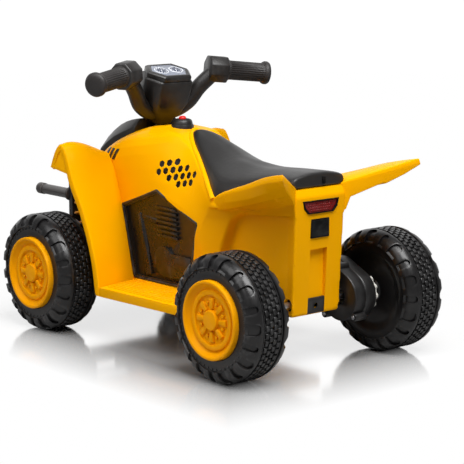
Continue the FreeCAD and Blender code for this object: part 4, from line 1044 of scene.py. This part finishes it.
class QUAD_OT_springs(bpy.types.Operator):
    """Coil springs of the front axle"""

    bl_idname = "quad.springs"
    bl_label = "Front springs"

    def execute(self, context):
        turns = context.scene.quad_sizes.spring_turns
        wire, coil_radius, length = 0.0025, 0.0125, 0.0725
        for side, word in SIDES:
            bpy.ops.mesh.primitive_circle_add(vertices=14, radius=wire, fill_type="NOTHING")
            coil = named("front_spring_" + word + "_dressed")
            for vert in coil.data.vertices:
                vert.co = Vector((coil_radius + vert.co.x, 0, vert.co.y))
            modify(coil, "SCREW", angle=math.tau * turns, screw_offset=length, steps=40 * turns,
                   render_steps=40 * turns, axis="Z", use_merge_vertices=True)
            edit(coil, "DESELECT")
            bpy.ops.mesh.select_non_manifold()
            bpy.ops.mesh.edge_face_add()
            close_edit()
            coil.data.transform(Matrix.Translation(mm(AXLE_X, side * 95, 152.6)))
            settle(outward(coil), "chassis", "spring_yellow", ("front_spring_" + word,), 60)
        return {"FINISHED"}


# Handlebar

def on_console(fore, y, up):
    """A point of the console in metres, from mm in its raked frame."""
    return mm(*CONSOLE) + FORE * (fore / 1000) + Vector((0, y / 1000, 0)) + RISE * (up / 1000)


def console_ring(up, rear, front, wide, narrow):
    """Six corners of the console at one height."""
    half = ((rear, narrow), ((rear + front) / 2, wide), (front, narrow))
    return [on_console(f, y, up) for f, y in half] + [on_console(f, -y, up) for f, y in reversed(half)]


class QUAD_OT_handlebar(bpy.types.Operator):
    """Console with its bent arms, dials and grips"""

    bl_idname = "quad.handlebar"
    bl_label = "Handlebar"

    def execute(self, context):
        self.console()
        self.dials()
        for side, word in SIDES:
            clamp, end = (mm(x, side * y, z) for x, y, z in (CLAMP, GRIP_END))
            self.grip(word, clamp, end)
            self.bolts(word, clamp, Vector((-1, 0.1 * side, -0.25)).normalized())
        return {"FINISHED"}

    def console(self):
        """Console body with an arm to each side, and its screw."""
        body = loft("console_body", [console_ring(*row) for row in (
            (-94, -17, 17, 20, 14), (-82, -19, 19, 24, 17), (-70, -25, 26, 36, 26), (-52, -29, 31, 44, 32),
            (-30, -30, 31, 46, 34), (-10, -30, 31, 46, 33))])
        parts = [rounded(body, 0.005, 3, 20)]
        arm = ((139, 0, 368), (137, 28, 371), (130, 52, 385), (121, 69, 409), (107, 95, 436))
        for side, _ in SIDES:
            parts.append(tube("arm", [mm(x, side * y, z) for x, y, z in arm], 0.0138, 6, 18))
        settle(joined("console_dressed", parts), "steering", "trim_black", ("console",), 45)
        screw = drum("console_screw", on_console(-29, 0, -7), FORE, 0.0026, 0.0016, 0.0004, 16)
        settle(screw, "steering", "trim_black", look="grip_rubber")

    def dials(self):
        """Two round gauges with rings, ticks and hands on the printed face."""
        turn = Matrix((FORE, Vector(ACROSS), RISE)).transposed().to_4x4()
        parts = []
        faces = []
        for side, _ in SIDES:
            place = Matrix.Translation(on_console(0, side * 15.5, -0.5)) @ turn
            bpy.ops.mesh.primitive_torus_add(major_radius=0.0118, minor_radius=0.0009, major_segments=40,
                                             minor_segments=8)
            ring = named("ring")
            ring.data.transform(place)
            parts.append(ring)
            tick = box("tick", (0.0078, -0.0004, 0.0001), (0.0102, 0.0004, 0.0011))
            hand = box("hand", (-0.0015, -0.0006, 0.0002), (0.0072, 0.0006, 0.0013), 0.0003, 1)
            for mark, degrees in [(tick, 30 * k - 60) for k in range(11)] + [(hand, 150)]:
                copy = turned_copy(mark, Matrix.Rotation(math.radians(degrees), 4, "Z"), "mark")
                copy.data.transform(place)
                parts.append(copy)
            drop(tick)
            drop(hand)
            face = drum("face", Vector((0, 0, 0.0001)), (0, 0, 1), 0.0116, 0.001, 0.0002, 40)
            face.data.transform(place)
            faces.append(face)
        settle(joined("dial_marks", parts), "steering", "dial_face", look="dial_white")
        settle(joined("dial_faces", faces), "steering", "dial_face", look="dial_blue")

    def grip(self, word, clamp, end):
        """Rubber grip with fine ribs along it and a rounded end."""
        axis = (end - clamp).normalized()
        start = clamp + axis * GRIP_START
        length = (end - start).length * 1000
        across = axis.cross(Vector((0, 0, 1))).normalized()
        up = across.cross(axis)
        ribs = 84
        rings = []
        for t, high, low in (
                (0, 17.6, 17.6), (3.5, 18, 18), (5, 16.6, 15.4), (length - 15, 16.4, 15.2),
                (length - 13, 16.6, 16.6), (length - 11.5, 19, 19), (length - 9, 20, 20),
                (length - 5, 20, 20), (length - 2.4, 18.6, 18.6), (length - 0.8, 14.5, 14.5), (length, 6, 6)):
            ring = []
            for k, angle in enumerate(around(ribs)):
                radius = high if k % 3 else low
                outwards = across * math.cos(angle) + up * math.sin(angle)
                ring.append(start + axis * (t / 1000) + outwards * (radius / 1000))
            rings.append(ring)
        grip = "grip_" + word
        settle(loft(grip + "_dressed", rings), "steering", "grip_rubber", (grip,), 50)

    def bolts(self, word, clamp, away):
        """Sunk bolt head of a bar clamp, with a darker disc round it that is painted shade of the hole."""
        ring = drum("bolt", clamp + away * BOLT_SINK, away, 0.0036, 0.0016, 0.0004, 20)
        head = drum("head", clamp + away * (BOLT_SINK + 0.0006), away, 0.0020, 0.0016, 0.0003, 6)
        settle(joined("clamp_bolt_" + word, [ring, head]), "steering", "bar_black", look="frame_black")


def gear_bar(name, margin, near, far):
    """Straight bar whose outline is drawn round the gears with a margin in mm, between two y places."""
    spots = []
    for node in ("output_gear", "second_gear", "first_gear", "motor_pinion"):
        middle = node_middle(node)
        places = [corner[0] for corner in NODES[node].bound_box]
        radius = (max(places) - min(places)) / 2 + margin / 1000
        spots += [Vector((middle.x + u, middle.z + v)) for u, v in circle(radius, 40)]
    outline = [tuple(spots[i]) for i in convex_hull_2d(spots)]
    return prism(name, outline, far / 1000, near / 1000, 1)


class QUAD_OT_fittings(bpy.types.Operator):
    """Start pod and button, tail plate and lamp, gear case and drive collar"""

    bl_idname = "quad.fittings"
    bl_label = "Fittings"

    def execute(self, context):
        self.pod()
        plate = box("tail_plate", mm(-259.4, -19, 205), mm(-255.5, 19, 235), 0.001, 2)
        rim = box("plate_rim", mm(-260.2, -16.5, 207.5), mm(-256, 16.5, 232.5), 0.0006, 1)
        settle(joined("tail_plate", [plate, rim]), "chassis", "trim_black", look="deep_black")
        self.lamp()
        self.gearbox(mm(-AXLE_X, 0, AXLE_Z))
        self.button()
        self.collar(mm(-AXLE_X, 0, AXLE_Z))
        # Near-black block at the seat's back: painted shade that stands in for the dark slot.
        slot = box("seat_slot_shade", mm(-258.2, -11.4, 288), mm(-252, -5.8, 299.5), 0.0008, 2)
        settle(slot, "chassis", "frame_black", look="deep_black")
        return {"FINISHED"}

    def pod(self):
        """Stepped round pod of the start button."""
        steps = ((20, 336), (19.6, 349), (18.6, 352), (17.4, 352.6), (16.4, 357.5), (14.6, 360.2),
                 (11, 361.4), (8.4, 361.6), (7.4, 361), (7.2, 356), (2, 355.5))
        rings = [[mm(POD_X + u, v, z) for u, v in circle(radius, 40)] for radius, z in steps]
        settle(loft("start_pod_dressed", rings), "chassis", "trim_black", ("start_pod",), 40)

    def button(self):
        """Domed push button."""
        corners = [Vector(c) for c in NODES["start_button"].bound_box]
        low = min(c.z for c in corners)
        high = max(c.z for c in corners)
        half = (max(c.y for c in corners) - min(c.y for c in corners)) / 2
        middle = node_middle("start_button")
        steps = ((low, 0.98), (high - 0.0012, 0.98), (high + 0.0006, 0.86), (high + 0.0016, 0.6),
                 (high + 0.002, 0.2))
        rings = [[Vector((middle.x + u, middle.y + v, up)) for u, v in circle(half * part, 32)]
                 for up, part in steps]
        button = loft("start_button_dressed", rings)
        settle(button, "start_button", "signal_red", ("start_button",), 50, "button_red")

    def lamp(self):
        """Black bezel and a red lens with a grid of raised cells."""
        bezel = lamp_bar("tail_lamp_bezel_dressed", 0.2, -261.2, -252)
        cut(bezel, lamp_bar("window", 1.8, -270, -240))
        rounded(bezel, 0.0006)
        settle(bezel, "chassis", "trim_black", ("tail_lamp_bezel",), look="deep_black")
        parts = [lamp_bar("lens", 1.9, -258.6, -252.5)]
        for z, half in ((248.6, 21), (252.6, 25), (256.6, 28), (260.4, 31)):
            count = int(half // 2.3)
            for k in range(count):
                y = (k - (count - 1) / 2) * 4.4
                parts.append(box("cell", mm(-259.7, y - 1.8, z - 1.5), mm(-257, y + 1.8, z + 1.5), 0.0007, 1))
        settle(joined("tail_lamp_lens_dressed", parts), "chassis", "signal_red", ("tail_lamp_lens",))

    def gearbox(self, axle):
        """Hollow gear case drawn round the gears, with a seam, bosses and screws."""
        case, *shells = [
            rounded(gear_bar("gearbox_case", margin, near, far), 0.0022, 3)
            for margin, near, far in GEAR_SHELLS]
        for shell in shells:
            combine(case, shell, "UNION")
        combine(case, gear_bar("room", 3.2, -63, -103))
        combine(case, drum("bore", Vector((axle.x, -0.083, axle.z)), ACROSS, 0.0135, 0.08))
        settle(case, "chassis", "frame_black", ("gearbox_case_inner", "gearbox_case_outer"), 40)
        bosses = []
        screws = []
        for x, z in GEAR_BOSSES:
            bosses.append(drum("boss", mm(x, -72, z), ACROSS, 0.0062, 0.024, 0.001, 24))
            screws.append(drum("screw", mm(x, -59.6, z), ACROSS, 0.0034, 0.002, 0.0006, 18))
        settle(joined("gearbox_bosses", bosses), "chassis", "frame_black")
        settle(joined("gearbox_screws", screws), "chassis", "steel")

    def collar(self, axle):
        """White drive collar between the gear case and the driven wheel."""
        outline = []
        for k, angle in enumerate(around(48)):
            radius = 0.0325 if k % 4 < 2 else 0.0292
            outline.append((axle.x + radius * math.cos(angle), axle.z + radius * math.sin(angle)))
        ring = prism("drive_collar", outline, -0.117, -0.1085, 1)
        cut(ring, drum("bore", Vector((axle.x, -0.113, axle.z)), ACROSS, 0.0142, 0.04, 0, 40))
        settle(rounded(ring, 0.0007), "wheel_rear_right", "gear_white")


class QUAD_OT_trim(bpy.types.Operator):
    """Console lid, clamps, cowl, lamps, footrests and other trim with rounded edges"""

    bl_idname = "quad.trim"
    bl_label = "Trim"

    def execute(self, context):
        edge = context.scene.quad_sizes.edge
        plain = [
            ("console_lid", "steering", "trim_black", 1.5),
            ("dial_panel", "steering", "dial_face", 0.3),
            ("nose_cover", "chassis", "cowl_black", 2),
            ("front_grille", "chassis", "trim_black", 1),
            ("tow_block", "chassis", "trim_black", 1),
        ]
        for _, word in SIDES:
            plain += [
                ("bar_clamp_" + word, "steering", "bar_black", 2),
                ("footrest_" + word, "chassis", "body_yellow", 0.5),
                ("engine_cover_" + word, "chassis", "trim_black", 0.8, "engine_black"),
                ("bumper_horn_" + word, "chassis", "bumper_grey", 1),
                ("horn_cap_" + word, "chassis", "bumper_grey", 1.5),
                ("headlamp_" + word, "chassis", "lamp_clear", 1),
            ]
        for node, body, slot, share, *look in plain:
            settle(node_copy(node, edge * share), body, slot, (node,), 35, *look)
        return {"FINISHED"}


class QUAD_OT_mechanism(bpy.types.Operator):
    """Finishes of the solids that show as they are"""

    bl_idname = "quad.mechanism"
    bl_label = "Mechanism"

    def execute(self, context):
        for part in frame["record"]["subparts"]:
            slot = part["material_slot"]
            node = NODES[part["node"]]
            node.data.materials.clear()
            node.data.materials.append(finish(SLOT_FINISH.get(slot, slot)))
        return {"FINISHED"}


# Studio

STAGE_SIZE = 14
SOFT_BOX_SIZE = 1.8
WALL_PLACE = (4.2, -3.6, 1.5)
WALL_TURN = (math.radians(90), 0, math.radians(49.7))
LIGHT_TARGET = Vector((0, 0, 0.2))
FLOOR_POLISH = 0.74
FLOOR_BOUNCE = 0.38
SKY_GLOSS = 0.3
WALL_GLOW = 1.05
SENSOR_WIDTH = 36
CLIP_END = 60

# The floor's reflection ends along two lines in front of the wheels, which meet towards the camera

VIEW_X, VIEW_Y = -0.763, 0.647
MEETING_OFFSET = 0.032
MEETING_REACH = 0.301
LINE_SLOPES = (1.178, -0.849)


def aimed(place, target):
    """Turn of a camera or light at place that looks at target."""
    return (target - Vector(place)).to_track_quat("-Z", "Y").to_euler()


def bare_material(name):
    """A new material without a shader, its node tree and the object's coordinates."""
    material = bpy.data.materials.new(name)
    material.use_nodes = True
    tree = material.node_tree
    tree.nodes.remove(tree.nodes["Principled BSDF"])
    return material, tree, tree.nodes.new("ShaderNodeTexCoord").outputs["Object"]


def floor_white():
    """White floor that keeps the shadow and a soft reflection which fades in front of the wheels."""
    material, tree, coords = bare_material("floor_white")
    cloud = noise(tree, coords, 3.0, 2.0)
    matt = shader(tree, "ShaderNodeBsdfDiffuse", {"Color": mixed(tree, cloud, grey(0.79), grey(0.83))})
    gloss = shader(tree, "ShaderNodeBsdfGlossy",
                   {"Color": grey(1), "Roughness": spread(tree, cloud, 0.3, 0.7, 0.10, 0.14)})
    polished = shader(tree, "ShaderNodeMixShader", {0: FLOOR_POLISH, 1: matt, 2: gloss})
    split = shader_node(tree, "ShaderNodeSeparateXYZ", {0: coords})
    x = split.outputs["X"]
    y = split.outputs["Y"]
    near = calc(tree, "ADD", times(tree, x, VIEW_X), times(tree, y, VIEW_Y))
    across = calc(tree, "ADD", times(tree, x, VIEW_Y), calc(tree, "MULTIPLY_ADD", y, -VIEW_X, MEETING_OFFSET))
    wheels = calc(tree, "MAXIMUM", *(times(tree, across, slope) for slope in LINE_SLOPES))
    ahead = calc(tree, "ADD", calc(tree, "ADD", near, wheels), -MEETING_REACH)
    reach = calc(tree, "SQRT", calc(tree, "ADD", times(tree, x, x), times(tree, y, y)))
    shown = times(tree, spread(tree, ahead, 0.02, 0.26, 1.0, 0.0), spread(tree, reach, 0.42, 0.75, 1.0, 0.0))
    glow = shader(tree, "ShaderNodeEmission", {"Color": grey(1)})
    seen = shader(tree, "ShaderNodeMixShader", {0: shown, 1: glow, 2: polished})
    bounce = shader(tree, "ShaderNodeBsdfDiffuse", {"Color": grey(FLOOR_BOUNCE)})
    path = tree.nodes.new("ShaderNodeLightPath").outputs
    surface = shader(tree, "ShaderNodeMixShader", {0: path["Is Camera Ray"], 1: bounce, 2: seen})
    feed(tree, tree.nodes["Material Output"].inputs["Surface"], surface)
    return material


def wall_white():
    """Back wall that is white to the camera and in the floor."""
    material, tree, coords = bare_material("wall_white")
    cloud = noise(tree, coords, 2.0, 2.0)
    path = tree.nodes.new("ShaderNodeLightPath").outputs
    shown = calc(tree, "MAXIMUM", path["Is Camera Ray"], path["Is Glossy Ray"])
    tint = mixed(tree, cloud, grey(0.98), grey(1.0))
    glow = shader(tree, "ShaderNodeEmission", {"Color": tint, "Strength": times(tree, shown, WALL_GLOW)})
    feed(tree, tree.nodes["Material Output"].inputs["Surface"], glow)
    return material


class QUAD_OT_studio(bpy.types.Operator):
    """Floor, soft boxes and camera"""

    bl_idname = "quad.studio"
    bl_label = "Studio"

    def execute(self, context):
        scene = context.scene
        studio = scene.quad_studio
        bpy.ops.mesh.primitive_plane_add(size=STAGE_SIZE, location=(0, 0, 0))
        floor = named("studio_floor")
        floor.data.materials.append(floor_white())
        bpy.ops.mesh.primitive_plane_add(size=STAGE_SIZE, location=WALL_PLACE, rotation=WALL_TURN)
        wall = named("studio_wall")
        wall.data.materials.append(wall_white())
        self.sky(scene, studio.ambient)
        for name, place, power in (("rear_box", (-1.2, 0.35, 2.45), studio.rear_power),
                                   ("top_box", (0.2, 1.9, 1.9), studio.top_power)):
            bpy.ops.object.light_add(type="AREA", location=place, rotation=aimed(place, LIGHT_TARGET))
            lamp = bpy.context.object
            lamp.name = name
            lamp.data.shape = "RECTANGLE"
            lamp.data.size = SOFT_BOX_SIZE
            lamp.data.size_y = SOFT_BOX_SIZE
            lamp.data.energy = power
        place = Vector(studio.camera_place)
        bpy.ops.object.camera_add(location=place, rotation=aimed(place, Vector(studio.camera_target)))
        camera = bpy.context.object
        camera.data.lens = studio.camera_lens
        camera.data.sensor_width = SENSOR_WIDTH
        camera.data.clip_end = CLIP_END
        scene.camera = camera
        scene.view_settings.view_transform = "Standard"
        return {"FINISHED"}

    def sky(self, scene, ambient):
        """White to the camera, dimmer in reflections, plain ambient light elsewhere."""
        world = scene.world or bpy.data.worlds.new("studio")
        scene.world = world
        world.use_nodes = True
        tree = world.node_tree
        back = tree.nodes["Background"].inputs
        path = tree.nodes.new("ShaderNodeLightPath").outputs
        seen = calc(tree, "MAXIMUM", path["Is Camera Ray"], path["Is Transmission Ray"])
        white = calc(tree, "MAXIMUM", seen, times(tree, path["Is Glossy Ray"], SKY_GLOSS))
        feed(tree, back["Color"], grey(1))
        feed(tree, back["Strength"], calc(tree, "MAXIMUM", white, ambient))


class QUAD_PT_panel(bpy.types.Panel):
    """Lists the steps of the dressing"""

    bl_idname = "QUAD_PT_panel"
    bl_label = "Quad bike"
    bl_space_type = "VIEW_3D"
    bl_region_type = "UI"
    bl_category = "Quad bike"

    def draw(self, context):
        for step in STEPS:
            self.layout.operator(step.bl_idname)


GROUPS = (QuadColours, QuadSizes, QuadStudio)
STEPS = (QUAD_OT_mechanism, QUAD_OT_body, QUAD_OT_seat, QUAD_OT_fenders, QUAD_OT_tyres, QUAD_OT_discs,
         QUAD_OT_springs, QUAD_OT_handlebar, QUAD_OT_fittings, QUAD_OT_trim, QUAD_OT_studio)
CLASSES = GROUPS + STEPS + (QUAD_PT_panel,)


def register():
    for cls in CLASSES:
        bpy.utils.register_class(cls)
    bpy.types.Scene.quad_colours = bpy.props.PointerProperty(type=QuadColours)
    bpy.types.Scene.quad_sizes = bpy.props.PointerProperty(type=QuadSizes)
    bpy.types.Scene.quad_studio = bpy.props.PointerProperty(type=QuadStudio)


def unregister():
    del bpy.types.Scene.quad_studio
    del bpy.types.Scene.quad_sizes
    del bpy.types.Scene.quad_colours
    for cls in reversed(CLASSES):
        bpy.utils.unregister_class(cls)


def main():
    register()
    for step in STEPS:
        group, name = step.bl_idname.split(".")
        getattr(getattr(bpy.ops, group), name)()


if __name__ == "__main__":
    main()
